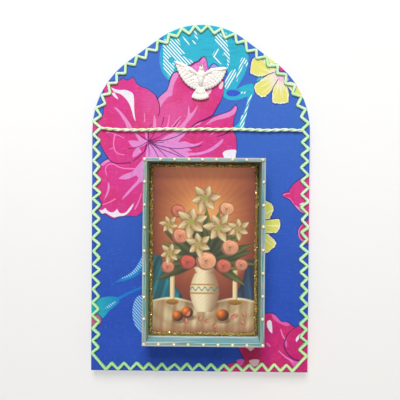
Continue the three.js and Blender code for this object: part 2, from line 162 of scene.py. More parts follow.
def spline(text: str, steps: int = 5, closed: bool = True) -> np.ndarray:
    """Smooth curve through control points, with a corner at each sharp one.

    Args:
        text: control points in millimetres, as parse reads them.
        steps: points on each stretch.
        closed: whether the last point runs on to the first.

    Returns:
        Points of a cubic curve whose tangent at a point is half the way from the point
        before it to the one after, or the whole way to the neighbour at a corner or an end.
    """
    points, sharp = parse(text)
    before, after = np.roll(points, 1, 0), np.roll(points, -1, 0)
    if not closed:
        before[0], after[-1] = points[0], points[-1]
    middle = (after - before) / 2.0
    leaving = np.where(sharp[:, None], after - points, middle)
    arriving = np.where(sharp[:, None], points - before, middle)
    last = len(points) if closed else len(points) - 1
    t = (np.arange(steps) / steps)[None, :, None]
    start, end = points[:last, None], after[:last, None]
    out, into = leaving[:last, None], np.roll(arriving, -1, 0)[:last, None]
    curve = (
        (2 * t**3 - 3 * t**2 + 1) * start + (t**3 - 2 * t**2 + t) * out
        + (3 * t**2 - 2 * t**3) * end + (t**3 - t**2) * into
    ).reshape(-1, 2)
    return curve if closed else np.vstack([curve, points[-1:]])


def near_segments(
    places: np.ndarray, line: np.ndarray, closed: bool, reach: float
) -> tuple[np.ndarray, np.ndarray, np.ndarray, np.ndarray, np.ndarray]:
    """Nearest point of a polyline for each place.

    Args:
        places: points in the plane.
        line: the polyline's points.
        closed: whether the polyline is a polygon.
        reach: distance that is taken for every place farther off.

    Returns:
        Which places lie within the polyline's box grown by reach, and for those: the distance,
        the side (+1 left, -1 right), the share of the way along, and whether a polygon holds them.
    """
    within = np.all((places > line.min(0) - reach) & (places < line.max(0) + reach), axis=1)
    spot = places[within]
    distance, side = np.full(len(spot), reach), np.ones(len(spot))
    share, inside = np.zeros(len(spot)), np.zeros(len(spot), bool)
    ends = np.roll(line, -1, 0) if closed else line[1:]
    starts = line if closed else line[:-1]
    for number, (start, end) in enumerate(zip(starts, ends)):
        along, offset = end - start, spot - start
        t = np.clip(offset @ along / max(along @ along, 1e-12), 0.0, 1.0)
        gap = np.linalg.norm(offset - t[:, None] * along, axis=1)
        closer = gap < distance
        distance = np.where(closer, gap, distance)
        cross = along[0] * offset[:, 1] - along[1] * offset[:, 0]
        side = np.where(closer, np.sign(cross), side)
        share = np.where(closer, (number + t) / len(starts), share)
        spans = (start[1] > spot[:, 1]) != (end[1] > spot[:, 1])
        inside ^= spans & ((cross > 0) == (end[1] > start[1]))
    return within, distance, side, share, inside


def signed_distance(places: np.ndarray, polygons: Sequence[np.ndarray], reach: float) -> np.ndarray:
    """Distance to the nearest of some polygons, negative inside one and at most reach."""
    result = np.full(len(places), reach)
    for polygon in polygons:
        within, distance, _, _, inside = near_segments(places, polygon, True, reach)
        result[within] = np.minimum(result[within], np.where(inside, -distance, distance))
    return result


def loft(rings: np.ndarray, wrap: bool = False) -> tuple[np.ndarray, list[np.ndarray]]:
    """Skin over closed sections that follow one another.

    Args:
        rings: array of sections, points of a section, and coordinates.
        wrap: whether the last section joins the first; otherwise both ends get a cap.

    Returns:
        Vertices and faces. A cap is a fan from the end section's middle.
    """
    count, size = rings.shape[:2]
    points = rings.reshape(-1, 3)
    faces = [grid_faces(count, size, wrap, True)]
    if not wrap:
        edge = np.arange(size)
        following = (edge + 1) % size
        first, last = len(points), len(points) + 1
        base = (count - 1) * size
        points = np.vstack([points, rings[0].mean(0), rings[-1].mean(0)])
        faces.append(np.stack([np.full(size, first), following, edge], -1))
        faces.append(np.stack([np.full(size, last), base + edge, base + following], -1))
    return points, faces


@dataclass
class Limb:
    """Closed part of a larger piece.

    Attributes:
        rings: its sections, as loft takes them.
        values: its vertex attributes, for the points of the sections and then both caps' middles.
    """

    rings: np.ndarray
    values: dict[str, np.ndarray]


# Pieces


def add_piece(
    name: str,
    points: np.ndarray,
    faces: Sequence[np.ndarray],
    material: bpy.types.Material,
    replaces: Sequence[str] = (),
    values: dict[str, np.ndarray] | None = None,
    outward: bool = True,
    smooth: bool = True,
) -> bpy.types.Object:
    """Makes one visual piece from arrays and ties it to the frame.

    Args:
        name: name of the object.
        points: vertices in millimetres.
        faces: arrays of quads or triangles.
        material: its finish.
        replaces: CAD nodes that it stands for.
        values: vertex attributes by name, numbers, 3-vectors or 4-colours.
        outward: turns all faces over where the volume they close, the sum of a . (b x c) / 6
            over triangles a, b, c, comes out negative.
        smooth: shades the faces as one curved surface.

    Returns:
        The new object.
    """
    if outward:
        fans = [part[:, [0, k, k + 1]] for part in faces for k in range(1, part.shape[1] - 1)]
        a, b, c = (points[np.vstack(fans)[:, k]] for k in range(3))
        if np.einsum("ij,ij->", a, np.cross(b, c)) < 0:
            faces = [part[:, ::-1] for part in faces]
    mesh = bpy.data.meshes.new(name)
    mesh.vertices.add(len(points))
    mesh.vertices.foreach_set("co", (points * MM).astype(np.float32).ravel())
    corners = np.concatenate([part.ravel() for part in faces])
    sizes = np.concatenate([np.full(len(part), part.shape[1]) for part in faces])
    mesh.loops.add(len(corners))
    mesh.loops.foreach_set("vertex_index", corners.astype(np.int32))
    mesh.polygons.add(len(sizes))
    mesh.polygons.foreach_set("loop_start", (np.cumsum(sizes) - sizes).astype(np.int32))
    mesh.polygons.foreach_set("use_smooth", np.full(len(sizes), smooth))
    mesh.update(calc_edges=True)
    mesh.validate()
    for key, data in (values or {}).items():
        kind, field = ATTRIBUTE_KINDS[data.size // len(points)]
        mesh.attributes.new(key, kind, "POINT").data.foreach_set(field, data.astype(np.float32).ravel())
    mesh.materials.append(material)
    piece = bpy.data.objects.new(name, mesh)
    bpy.context.scene.collection.objects.link(piece)
    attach(piece, BODY)
    if replaces:
        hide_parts(*replaces)
    LOG.info("%s: %d faces", name, len(sizes))
    return piece


def join_limbs(limbs: Sequence[Limb]) -> tuple[np.ndarray, list[np.ndarray], dict[str, np.ndarray]]:
    """Several limbs, each lofted, as one mesh.

    Args:
        limbs: parts with the same attributes.

    Returns:
        Vertices, faces and attributes.
    """
    points, faces, count = [], [], 0
    for limb in limbs:
        vertices, skins = loft(limb.rings)
        points.append(vertices)
        faces += [skin + count for skin in skins]
        count += len(vertices)
    values = {key: np.concatenate([limb.values[key] for limb in limbs]) for key in limbs[0].values}
    return np.vstack(points), faces, values


def dress(node: str, material: bpy.types.Material) -> None:
    """Gives a CAD node that stays in view its finish."""
    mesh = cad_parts[node].data
    mesh.materials.clear()
    mesh.materials.append(material)
    LOG.info("%s: finish %s", node, material.name)


# Node trees

Operand = Union["Value", bpy.types.NodeSocket, float]
Tone = Union[Triple, "Coat", bpy.types.NodeSocket]
Feed = Union["Value", "Coat", bpy.types.NodeSocket, float, Sequence[float]]


class Value:
    """A number in a node tree, with arithmetic that adds Math nodes."""

    def __init__(self, tree: "Tree", socket: bpy.types.NodeSocket) -> None:
        """Wraps a socket of the tree."""
        self.tree = tree
        self.socket = socket

    def __add__(self, other: Operand) -> "Value":
        """Sum."""
        return self.tree.math("ADD", self, other)

    __radd__ = __add__

    def __sub__(self, other: Operand) -> "Value":
        """Difference."""
        return self.tree.math("SUBTRACT", self, other)

    def __rsub__(self, other: Operand) -> "Value":
        """Difference from another number."""
        return self.tree.math("SUBTRACT", other, self)

    def __mul__(self, other: Operand) -> "Value":
        """Product."""
        return self.tree.math("MULTIPLY", self, other)

    __rmul__ = __mul__

    def __truediv__(self, other: Operand) -> "Value":
        """Quotient."""
        return self.tree.math("DIVIDE", self, other)

    def __rtruediv__(self, other: Operand) -> "Value":
        """Another number divided by this one."""
        return self.tree.math("DIVIDE", other, self)

    def __pow__(self, other: Operand) -> "Value":
        """Power."""
        return self.tree.math("POWER", self, other)

    def __neg__(self) -> "Value":
        """The number with its sign turned."""
        return self * -1.0

    def __abs__(self) -> "Value":
        """The number without its sign."""
        return self.tree.math("ABSOLUTE", self)

    def sine(self) -> "Value":
        """Sine of the number, in radians."""
        return self.tree.math("SINE", self)

    def ramp(self, low: float, high: float) -> "Value":
        """Smooth step from 0 at low to 1 at high; low may be the larger."""
        t = self.tree.math("ADD", (self - low) * (1.0 / (high - low)), 0.0, clamp=True)
        return t * t * (3.0 - 2.0 * t)


class Tree:
    """Node tree of a material or a world."""

    def __init__(self, owner: Union[bpy.types.Material, bpy.types.World]) -> None:
        """Turns the owner's nodes on."""
        owner.use_nodes = True
        self.nodes, self.links = owner.node_tree.nodes, owner.node_tree.links

    def feed(self, socket: bpy.types.NodeSocket, value: Feed) -> None:
        """Links a socket to a node's output, or sets it to a plain value."""
        value = value.socket if isinstance(value, (Value, Coat)) else value
        if isinstance(value, bpy.types.NodeSocket):
            self.links.new(value, socket)
        else:
            socket.default_value = value

    def node(
        self, kind: str, settings: dict[str, object] | None = None,
        inputs: dict[int | str, Feed] | None = None,
    ) -> bpy.types.Node:
        """Adds a node.

        Args:
            kind: the node's type.
            settings: its properties.
            inputs: values or links by the input's name or number.

        Returns:
            The node.
        """
        node = self.nodes.new(kind)
        for key, value in (settings or {}).items():
            setattr(node, key, value)
        for key, value in (inputs or {}).items():
            self.feed(node.inputs[key], value)
        return node

    def math(self, operation: str, *terms: Operand, clamp: bool = False) -> Value:
        """Number from a Math node."""
        settings = {"operation": operation, "use_clamp": clamp}
        return Value(self, self.node("ShaderNodeMath", settings, dict(enumerate(terms))).outputs[0])

    def mix(self, factor: Operand, low: Feed, high: Feed) -> bpy.types.NodeSocket:
        """Colour from low at factor 0 to high at factor 1."""
        inputs = {0: factor, 6: low, 7: high}
        return self.node("ShaderNodeMix", {"data_type": "RGBA"}, inputs).outputs[2]

    def shade(self, colour: Feed, factor: Operand) -> bpy.types.NodeSocket:
        """Colour multiplied by a number."""
        inputs = {0: colour, "Scale": factor}
        return self.node("ShaderNodeVectorMath", {"operation": "SCALE"}, inputs).outputs[0]

    def spread(self, vector: bpy.types.NodeSocket, scales: Triple) -> bpy.types.NodeSocket:
        """Vector with each coordinate multiplied by its own scale."""
        inputs = {0: vector, 1: scales}
        return self.node("ShaderNodeVectorMath", {"operation": "MULTIPLY"}, inputs).outputs[0]

    def place(self) -> bpy.types.NodeSocket:
        """Object coordinates in millimetres."""
        here = self.node("ShaderNodeTexCoord").outputs["Object"]
        return self.spread(here, (1 / MM, 1 / MM, 1 / MM))

    def split(self, vector: bpy.types.NodeSocket) -> list[Value]:
        """The three coordinates of a vector."""
        return [Value(self, out) for out in self.node("ShaderNodeSeparateXYZ", None, {0: vector}).outputs]

    def number(self, name: str) -> Value:
        """A vertex attribute that holds one number."""
        return Value(self, self.node("ShaderNodeAttribute", {"attribute_name": name}).outputs["Fac"])

    def vector(self, name: str) -> bpy.types.NodeSocket:
        """A vertex attribute that holds three numbers or a colour."""
        return self.node("ShaderNodeAttribute", {"attribute_name": name}).outputs["Vector"]

    def noise(
        self, vector: bpy.types.NodeSocket, scale: float, detail: float = 2.0, distortion: float = 0.0
    ) -> Value:
        """Soft noise round 0.5."""
        inputs = {"Vector": vector, "Scale": scale, "Detail": detail, "Distortion": distortion}
        return Value(self, self.node("ShaderNodeTexNoise", None, inputs).outputs[0])

    def drawn_noise(self, vector: bpy.types.NodeSocket, scales: Triple, detail: float) -> Value:
        """Soft noise round 0.5, drawn out along the coordinates with small scales."""
        return self.noise(self.spread(vector, scales), 1.0, detail)

    def cells(self, vector: bpy.types.NodeSocket, scale: float) -> tuple[Value, bpy.types.NodeSocket]:
        """Distance to the nearest of scattered points, and a random colour for each."""
        node = self.node("ShaderNodeTexVoronoi", None, {"Vector": vector, "Scale": scale})
        return Value(self, node.outputs["Distance"]), node.outputs["Color"]

    def shown(self) -> Value:
        """1 for rays from the camera, off a shiny surface or through glass, and 0 for all others."""
        rays = self.node("ShaderNodeLightPath").outputs
        either = self.math("MAXIMUM", rays["Is Camera Ray"], rays["Is Glossy Ray"])
        return self.math("MAXIMUM", either, rays["Is Transmission Ray"])

    def bump(self, height: Value, depth: float, strength: float = 1.0) -> bpy.types.NodeSocket:
        """Normal of a height that runs from 0 to 1 over depth millimetres."""
        inputs = {"Height": height, "Distance": depth * MM, "Strength": strength}
        return self.node("ShaderNodeBump", None, inputs).outputs[0]

    def finish(self, **sockets: Feed) -> bpy.types.Node:
        """Feeds the Principled BSDF's inputs, named with underscores, and returns the node."""
        shader = self.nodes["Principled BSDF"]
        for key, value in sockets.items():
            self.feed(shader.inputs[key.replace("_", " ")], value)
        return shader


class Coat:
    """A colour in a node tree, built up in layers. Tuples of tones are sRGB from 0 to 255."""

    def __init__(self, tree: Tree, ground: Tone) -> None:
        """Starts from the ground's tone."""
        self.tree = tree
        self.socket = srgb(*ground) if isinstance(ground, tuple) else ground

    def over(self, mask: Operand, tone: Tone) -> "Coat":
        """Lays a tone over the coat, coat + (tone - coat) * mask, and returns the coat."""
        layer = srgb(*tone) if isinstance(tone, tuple) else tone
        self.socket = self.tree.mix(mask, self.socket, layer)
        return self


@dataclass(frozen=True)
class Finish:
    """A procedural finish. Each kind paints its own nodes."""

    name: str

    def paint(self, tree: Tree) -> None:
        """Adds the finish's nodes to a tree."""
        raise NotImplementedError

    def material(self) -> bpy.types.Material:
        """The finish as a material."""
        material = bpy.data.materials.new(self.name)
        self.paint(Tree(material))
        return material


# Printed cotton

TURQUOISE = [
    "-26.3,40.8! -31.3,47 -33.4,53 -33.9,58 -33.4,64 -32,69.5 -31,75 -27,84 -10,93 8,94 24,85 24.5,74! "
    "29,72.6 33,70 36,66 37.8,61 37.9,57 37,52 35,46.5 31.5,40 28.3,34.8! 24,33.5 20,34.5 18.6,38 "
    "19.5,41 22,46 20,50.5 15,50.8 12,52 9.2,53.2 6.5,50.5 4.8,52.8 4,56 2.6,59.2 1,60 -1,59 -3,56.3 "
    "-5.5,55.5 -8,53.4 -12,53 -18,50 -22.3,47.5!",
    "17.7,30 18,34 21,35.6 26,35.4 29,34.4! 31,35.5 35,37.5 39,38.4 41.8,38.8! 42.6,36 42.8,32 41.8,29.7 "
    "38,28.8 35,27.6 32,26.3 27,25.4 22,25.9 19,27.5",
    "37.7,29.2! 37,24 35.5,18.5 33.5,13 31,8 28.5,5 26.8,3.5 26,0.6! 34.8,0.6! 35.3,6 36,10 37.3,15.5 "
    "38.5,21 40.5,26.5 41.6,30!",
    "44.5,40.5 46,43.5 49,44.6 50.6,43.4 47.5,41",
    "-72.9,-127! -71.2,-124.6 -67.6,-122.2 -64,-119.8 -59.4,-117.4 -55.8,-115 -52.6,-111.4 -49.6,-107 "
    "-46.6,-101 -44,-97! -44,-112! -47.4,-113.6 -50.6,-116.8 -54.4,-119.2 -59,-121 -63.6,-122.3 "
    "-68,-123 -70.2,-124.6",
    "-66,-135! -60,-131.7 -55,-129.3 -50,-127.2 -43,-124! -44,-126.6 -50,-129.4 -55,-131.6 "
    "-60,-134 -64,-136.4!",
    "-92,-138! -84,-137 -80.5,-136 -76,-135 -71,-134.8 -66.5,-135.5 -65,-137 -67,-141 -70,-143.5 "
    "-73.5,-146.5 -76,-149.5 -79,-152.8! -81.5,-150 -84,-149.5 -92,-150!",
    "-47,-133! -50.5,-134.5 -52.8,-138 -54.3,-143 -54.5,-149 -53.5,-155 -51,-160 -48.5,-163.5 "
    "-46,-165! -40,-160 -40,-138",
]
FALLING_HATCH = [
    "-30.8,74! -27,75 -24.5,74.5 -20,70 -15.5,65.5 -12.3,63! -15,62.2 -18.5,62 -14,60.3 -9.5,58 "
    "-6.3,56! -8.5,54.2 -13,53.8 -20,55.5 -21.5,56 -22,50 -24,46 -25.8,43.6! -28.5,47 -30,50 "
    "-30.9,53 -30.8,60 -31,67",
    "-22,76.5 -20,77 -16.5,70 -17.5,69.5 -21,73",
    "-15.5,77 -13.3,76 -9.6,69.6 -11.5,69.6",
    "-8.2,73.6 -6.4,73 -4.3,70.4 -6.6,70.9",
    "-6.5,82 -4.5,81 -3,74 -4.6,74",
    "11.5,77.5 15,79 20,79.5 20.5,75 21,70 22,66 23,60 22.5,55 21.5,51.5 20.6,51.2 21,56 20,60 17,62 "
    "18.5,65 13,70 11,72.5",
    "9.5,61.2 11.5,60.6 17,55 15.3,54.6 10,59.6",
    "-55,-134.6! -46,-133.4! -46,-166! -50,-165 -56,-155",
    "-77.5,-144.5! -74,-141.5 -71,-139.5 -68,-138.5 -69,-140.5 -71,-142 -74.5,-144.3",
    "-65,-119.8! -59.4,-116.9 -55.8,-114.5 -52.6,-110.9 -49.6,-106.5 -46.6,-100.5 -44,-96! -44,-108! "
    "-47,-109.6 -50.4,-113.6 -54.4,-116.8 -59,-119 -64,-120.4!",
]
RISING_HATCH = [
    "8.8,61.7 12.5,66.6 14.6,65.2 11,60.6",
    "33.5,60 36,58.5 37.5,56 37.3,52 36.3,52.5 34.5,55 32.5,50 30,43.5 29,40.5 28.2,41.5 28.8,46 "
    "30.5,52 31.5,57",
    "25.5,50 28.2,49.2 27,44 23.4,37.6 20,34.2 18.8,37.6 20.2,43",
    "33,13 35.3,12.5 35,6 33.8,1 31.3,1 31.8,8",
    "35.8,10 37.1,15.5 38.3,21 40.3,26.5 41.4,30! 39.8,30! 38.5,26.5 36.6,21 35.3,15.5 34.1,11!",
    "31.5,31.7 33,32.2 36.6,32.1 36.6,31 33,30.5",
    "46.5,42.6 49,43.8 49.8,43 47.5,41.6",
]
YELLOW = [
    "39.6,46.6! 39.6,50 40.2,54 40.9,58.2! 43,59.5 46,59.3 49,58 52,56.4 55,55.2 58.6,54! 61,49.5! "
    "58,47.6 54,46 50,45 45,45.1",
    "42.8,35.6! 44.6,39 48,41.6 52,44.4 56,46.5 60,47.8! 62,44! 59.6,38.6 57.5,35 55,31.6 52.6,29! "
    "50.4,28 48,28.4 46,29.6 44,32.4",
    "61.8,41.8! 59.4,38 57.9,33 57.4,28 57.8,23.9! 60,22.9 64,22.8 68,23.1 70.4,24.2! 70.7,29 69.9,34 "
    "68.6,38.5 67,41.6!",
    "69.5,38 72,34 76,30 80,27.5 84,29 84,33 79,36.5 75,39.5 71,40.5",
    "49.5,60 53,65 58,61.5 62,56.5 58,54.8 53,55.2 50.5,57.5",
    "49,-55! 53,-55.8 57,-58 59.3,-62 58,-67 55,-70.3 49,-71.5!",
    "49,-71.5! 55,-71 63.5,-70.2! 64.8,-74 64.3,-78 61,-81.8 54,-82 49,-82!",
    "49,-82! 54,-82.3 57.5,-85 61.3,-89 60.3,-93.5 57.5,-95.5 54,-98.3 49,-98!",
]
PINK = [
    "-92,5! -86,6 -82,8.7 -79.5,12.5 -78.7,17 -79.5,22 -79,26 -78.5,31 -79,36 -76,39.8 -70,39.8 "
    "-66,40.5 -63.5,42.3 -60.7,40.6 -57.5,41.8 -55.3,43.2 -53.8,40.5 -52,37.7 -49,35.8 -45,34.3 "
    "-41,32 -37.5,28.8 -35,25 -33.7,20! -30,10 -40,-10 -60,-25! -71,-26.3 -73.5,-24 -75.5,-21 "
    "-78,-17 -80.5,-12.5 -82.5,-8 -84,-3 -92,1!",
    "-33.7,19! -34.6,24 -34.4,26.3 -32,29 -29,31.5 -27.5,33 -26,37 -25,41 -24.3,43.5 -22.5,46.5 "
    "-20.3,47.8 -14,50 -8,54 -5,55.5 -2,56.5 0,59 2.5,60 4,56.5 4.8,53 7,49.5 12,46 17.8,41 18,36 "
    "17.6,31 16.5,27 14.5,22.5 12,18 9.8,14 8,11! 4,2 -20,-6 -34,-4",
    "8,11! 14,13.2 20,15 24,17 26.5,20 28.3,21.3! 28.8,18 27.6,14 26.6,11.5 26.2,8 25.8,3 25.4,0.5 "
    "27.5,-2.5 28.4,-6 28.8,-10 28.8,-14 28.4,-18 27,-24! -48,-24! -46,-6 -20,2",
    "-80.8,-26.5! -77,-24 -73.5,-23.3 -62,-24 -46,-20 -38,-24! -38,-60! -44,-63 -47,-65 -49.5,-67.5 "
    "-53,-69 -58,-68.7 -62,-69 -66.5,-69.6 -70,-71.2 -74,-69.5 -77,-67.4 -80,-67.6 -82.7,-64! "
    "-79.3,-60 -81,-56 -84,-50 -85,-42 -84,-35 -82.5,-31",
    "66.7,-51 67.6,-49.6 69.4,-49.1 71.4,-48.9 72.4,-46.8 74.6,-43.2 77.8,-40.4 81.6,-37.6 86.9,-33.8 "
    "92,-31! 95,-71! 88,-68.2 84.4,-66 80.9,-64.2 77.8,-61.2 75.3,-58.2 73.3,-55.4 71.2,-53.9 68.4,-53",
    "79.5,-81 80.5,-77.5 83,-74.5 88,-71 95,-72! 95,-93! 86,-90 83.5,-88.5 80.5,-85",
    "50,-148! 56,-147.3 59,-147.3 62,-149 64.5,-152 67,-154 71,-154.3 74,-156 76.5,-158.3 79,-158.3 "
    "82,-157 86,-154 94,-149! 96,-202! 15,-202! 22,-190.4 30,-187.4 "
    "37.4,-186! 35.4,-182 33.2,-177.8 30.8,-173!",
    "-84.5,-149.7 -82,-150.2 -80.4,-152.5 -80,-156 -83,-158.5 -92,-158.5! -92,-150!",
    "61.5,54.5 64,56 66.5,52 67.5,49.5 63.5,49.6",
    "-60,-14! -42,-12! -40,-27! -60,-27!",
]
LAVENDER = [
    "-41,-8.5! -37,-9.2 -33.5,-7.8 -30,-5.3 -25,-2.2 -20,-0.3 -14,1.5 -10.8,0.2! -13.8,-3.8 "
    "-17,-6.6 -18.8,-9.2! -15,-8.4 -12,-8.2 -9,-9.6 -5,-10.2 -1,-9.2 2.6,-7.4! 0,-9.8 -3.5,-11.8 "
    "-8,-13 -9.5,-14.3 -6.5,-15.3! -10,-16.2 -11.5,-17 -8,-17.3 -3,-17.2 3,-15.9 8,-13.4 13,-9.9 "
    "16,-7.4 18.6,-5.6! 17.5,-8.6 14,-12.2 9,-15.6 3,-18 -3,-19.4 -9,-20 -14,-24! -45,-24! -44,-15",
    "-59,-8.2! -56,-7.6 -52.5,-8 -50.5,-8 -52.5,-4 -54.8,0! -52,0.3! -50.5,-2.5 -48,-5.5 -43,-8! "
    "-45,-11 -48.5,-12.8 -50,-13 -53,-13.4 -56,-12.5 -57.7,-10",
    "-50.2,-13.2 -52,-14 -54.5,-17 -55.6,-21.7! -52.5,-20.5 -49.5,-18 -48,-16.8 -49.5,-14.5",
    "-45.8,-0.5! -44.8,-5 -43.4,-7.4! -43.5,-3 -43.4,0!",
    "-33.2,18.6! -34.6,24 -34.4,26.3 -32,29 -29,31.5 -27.5,33 -26,37 -25,41 -24.3,43.5 -22.5,46.5 "
    "-20.3,47.8 -18.2,45! -20,42 -22,38 -23,33.5 -23.6,29 -27,27.5 -31,22.5",
    "-5.3,4.3! -3,6 0.6,7.9! -1,5.6",
    "3,4.9! 6,7.6 9,10.3 13,12.2 18,14.2 23,16 26,18.2 28.2,21.3! 28.8,18.6 28,16 26,13.6 22,11.6 "
    "17,10.1 12,9 8,7.2",
    "7,-3.4! 9,-1.3 11.3,-0.1! 10,-1.9",
    "-71.3,19.3! -68,18.2 -63.5,14 -60,9.5 -57,5 -55,1! -60,1! -61,5.5 -64,10.5 -67,15",
    "-10.3,21.9! -9.3,18 -8.9,14.2 -6,16.5 -2.2,22.3! -3.8,17.5 -6.5,12.5 -9.5,8.5 -12,5.5 -14,1! "
    "-20,1! -15.5,6 -12.5,9.5 -11,13 -10.7,17",
    "-38,14! -36.9,11 -36.2,6 -36.4,1! -39,1! -38.6,6",
    "-81.5,-27.5! -78.5,-25 -74.5,-22.8! -73.3,-25 -76,-25.8 -79,-28.2",
    "-46,-22! -49.5,-26 -52.5,-29.5 -55.5,-33 -61,-35 -67.2,-38.7! -62,-39.4 -58,-38.6 -54.5,-37 "
    "-52.2,-35.6! -50.8,-38 -51.8,-41 -55,-44.3 -59,-49 -62.5,-53.3 -64.5,-56.8! -60.5,-53.2 "
    "-56,-48.6 -52,-44.6 -48.5,-41.5 -43,-39 -43,-22",
    "-75.2,-41! -74,-43 -73.8,-47 -75.5,-52 -79,-58.2! -77.3,-53 -75.6,-48",
    "58.3,-147.4! 62,-149 64.5,-152 67,-154 71,-154.3 74.2,-157! 70,-157.3 66,-155.6 61.5,-153 59,-150",
    "69.5,-168.3 71.4,-170 71,-175 69.2,-171",
    "54.3,-171 57,-172 58.4,-174.8 55.5,-173.6",
    "73.5,-185.6 78,-186 84,-186.2 80,-188 77.5,-190.4 75,-188",
    "75.8,-58.7! 77.8,-61.2 80.9,-64.2 84.4,-66 88,-68.2! 85.4,-64.4 81.4,-61.8 78.4,-59.9",
    "4.9,46.8! 5.4,50.6 6.7,52.6 9.2,54.2 11.8,53.9 14.8,51.2! 12,46.6",
    "-8.6,52.4! -5,54.4 -2,56 0.2,58.4 2.4,59.4 4,56.2! 4.6,51.6 5,46.6 -1,45.6 -7,47.2",
    "30.4,-185.6! 33.4,-184.7 37,-185.2! 35.6,-188.6 33.4,-190.6 31.4,-188.8",
]
WHITE = [
    "-73.5,35.5! -70,33.8 -66,33 -62,33.2 -57.5,31.8 -55.2,30 -54.4,26 -54.2,18 -53.6,12 -52.7,7.5! "
    "-54.5,10.5 -56,16 -58,21.5 -61,26 -65,29.5 -68.5,30.8 -71.5,32.5",
    "-72.5,30.6! -70.5,30.8 -69,29 -66.5,25! -69.5,26.8 -71.5,28.8",
    "17.6,-17.6! 20,-15.5 24,-14.7 28.6,-15 28.4,-18.5 27.3,-23 20.5,-23",
    "-82.5,-64! -80,-64.5 -77,-62.5! -75.5,-64.8 -72,-66.3 -69,-65 -67.2,-62.7! -66.5,-65.5 -64,-67 "
    "-60.5,-66 -57.5,-62.5 -53.3,-57.3! -55.5,-62.5 -58.5,-66.5 -62,-68.8 -66,-69.3 -70,-70.2 "
    "-74,-68.4 -77,-66.6 -80,-67.2",
    "55,-154 56.5,-152.8 58.3,-153.2 59,-157 59.3,-163.5! 57,-161.5 55,-157.5",
    "78.5,-171! 78.3,-168 80.5,-164.5 84.5,-161.3! 82.5,-164.8 80,-169",
    "60,47.4 63,46 66.5,48 69,45 70.4,42 68.5,40.4 65,40.3 61.7,41.6",
    "40.6,-185.8! 44.6,-184.6 49.3,-185! 47.6,-189.4 44,-190.6 41.6,-188.4",
    "36.4,-174! 39.4,-176 41.6,-178 44.4,-176 45.8,-173!",
    "80,-58.6 82.2,-57.2 84.6,-57.2 83,-58.7 81.2,-59.2",
    "4.4,32.6 5.6,35.9 8.4,35 7.6,31.4 5.4,29.4",
    "14.2,35.6 15.5,39.8 17.7,40 17.5,36.4 16.1,34.2",
]
NIGHT = ["20.2,31 21.5,33 25.5,33.7 30,32.8 31.6,31 29,28.9 25.5,28.2 22,29"]
DOTS_OF_HATCH = ["-27.1,57.3 -24.4,60.1 -21.7,57.3 -24.4,54.6"]

# Fine lines of the print: width at each end, and the line
DARK_LINES = [
    (0.7, 0.6, "-42.3,-8 -42.4,-4 -42.4,1 -41.5,3 -40.3,5.4"),
    (0.6, 0.5, "-42.3,-8 -46,-5.7 -50,-3.2 -54,0"),
    (0.6, 0.5, "-42.3,-8 -39.6,-5 -38,-2 -36.6,1.5"),
    (0.7, 0.5, "-42.3,-8 -37.5,-6.4 -34,-5 -30.5,-2.9 -26,-0.4"),
    (0.7, 0.7, "-42.3,-8 -36,-8 -30,-7.5 -25,-6.1 -19,-4 -13,-0.5"),
    (0.9, 0.5, "-40,-9 -36,-9.6 -30,-9"),
    (0.7, 0.6, "-42.3,-8 -37,-10.9 -30,-12.6 -24,-13.7 -17,-14 -10,-13.1 -3,-12.4 0.5,-11.4"),
    (0.7, 0.6, "-41,-9 -34,-11.8 -26.5,-13.4 -21.5,-16 -14,-20.5 -11,-23"),
    (0.7, 0.6, "-41.5,-9.5 -36,-12.7 -30,-15.2 -24,-17.5 -18,-19.9 -14,-22"),
    (0.7, 0.6, "-41.5,-9.5 -37.5,-12 -33,-15.6 -29,-19.6 -26,-23"),
    (0.7, 0.6, "-42,-9.5 -39.5,-12.4 -37,-16 -34,-21.5"),
    (0.6, 0.5, "-42.3,-8 -42.3,-12 -41.8,-16 -42,-20"),
    (0.6, 0.5, "-42.3,-8 -48,-11.6 -54,-13.7 -58.8,-14.2"),
    (1.1, 0.6, "-44,-11.5 -45.5,-16 -49,-20 -54.5,-24.2"),
    (0.9, 0.4, "-30.2,10.8 -31,7 -33,2"),
    (0.8, 0.7, "-36.5,28 -34.4,24 -33.6,20 -33.5,16 -34.4,12.5"),
    (1.8, 0.8, "7.6,11.6 3,9.4 -2,7.4 -5.5,5.2 -8.5,2.6"),
    (0.6, 1.2, "13.2,-4 17,-3 20.5,-1.6 23,0.4"),
    (0.6, 0.7, "-17.4,9.2 -19.5,6.8 -22.5,3"),
    (0.7, 0.9, "-76.5,-20.5 -73,-24.6 -69.5,-26.2 -64,-26.3 -57,-25.8"),
    (0.7, 1.3, "78,-158.4 74,-161.5 71,-165.5 69.3,-170 69,-174 71,-178.5 75,-183 81,-185.4 85,-184.4"),
    (0.7, 0.7, "57.5,34.6 59.4,38 61.6,41.6"),
    (0.7, 0.7, "50,44.4 53,45.8 58,47.7"),
    (0.8, 0.8, "-20,48 -22.6,46.8 -24.6,43.2 -26.2,40.4"),
    (1.0, 1.0, "-8,53.2 -5.6,55.4 -3,56.3 0,59.2"),
    (0.8, 0.5, "8.3,11.4 10,14.3 12.3,18.4 14.8,23"),
    (0.7, 0.7, "50,-71.4 56,-71 63.8,-70"),
    (0.7, 0.7, "50,-82.2 55,-82.3 60,-82"),
    (0.9, 0.7, "5.3,48.4 6.5,51.3 8.8,54.3 11,54.5 13.6,52.6"),
]
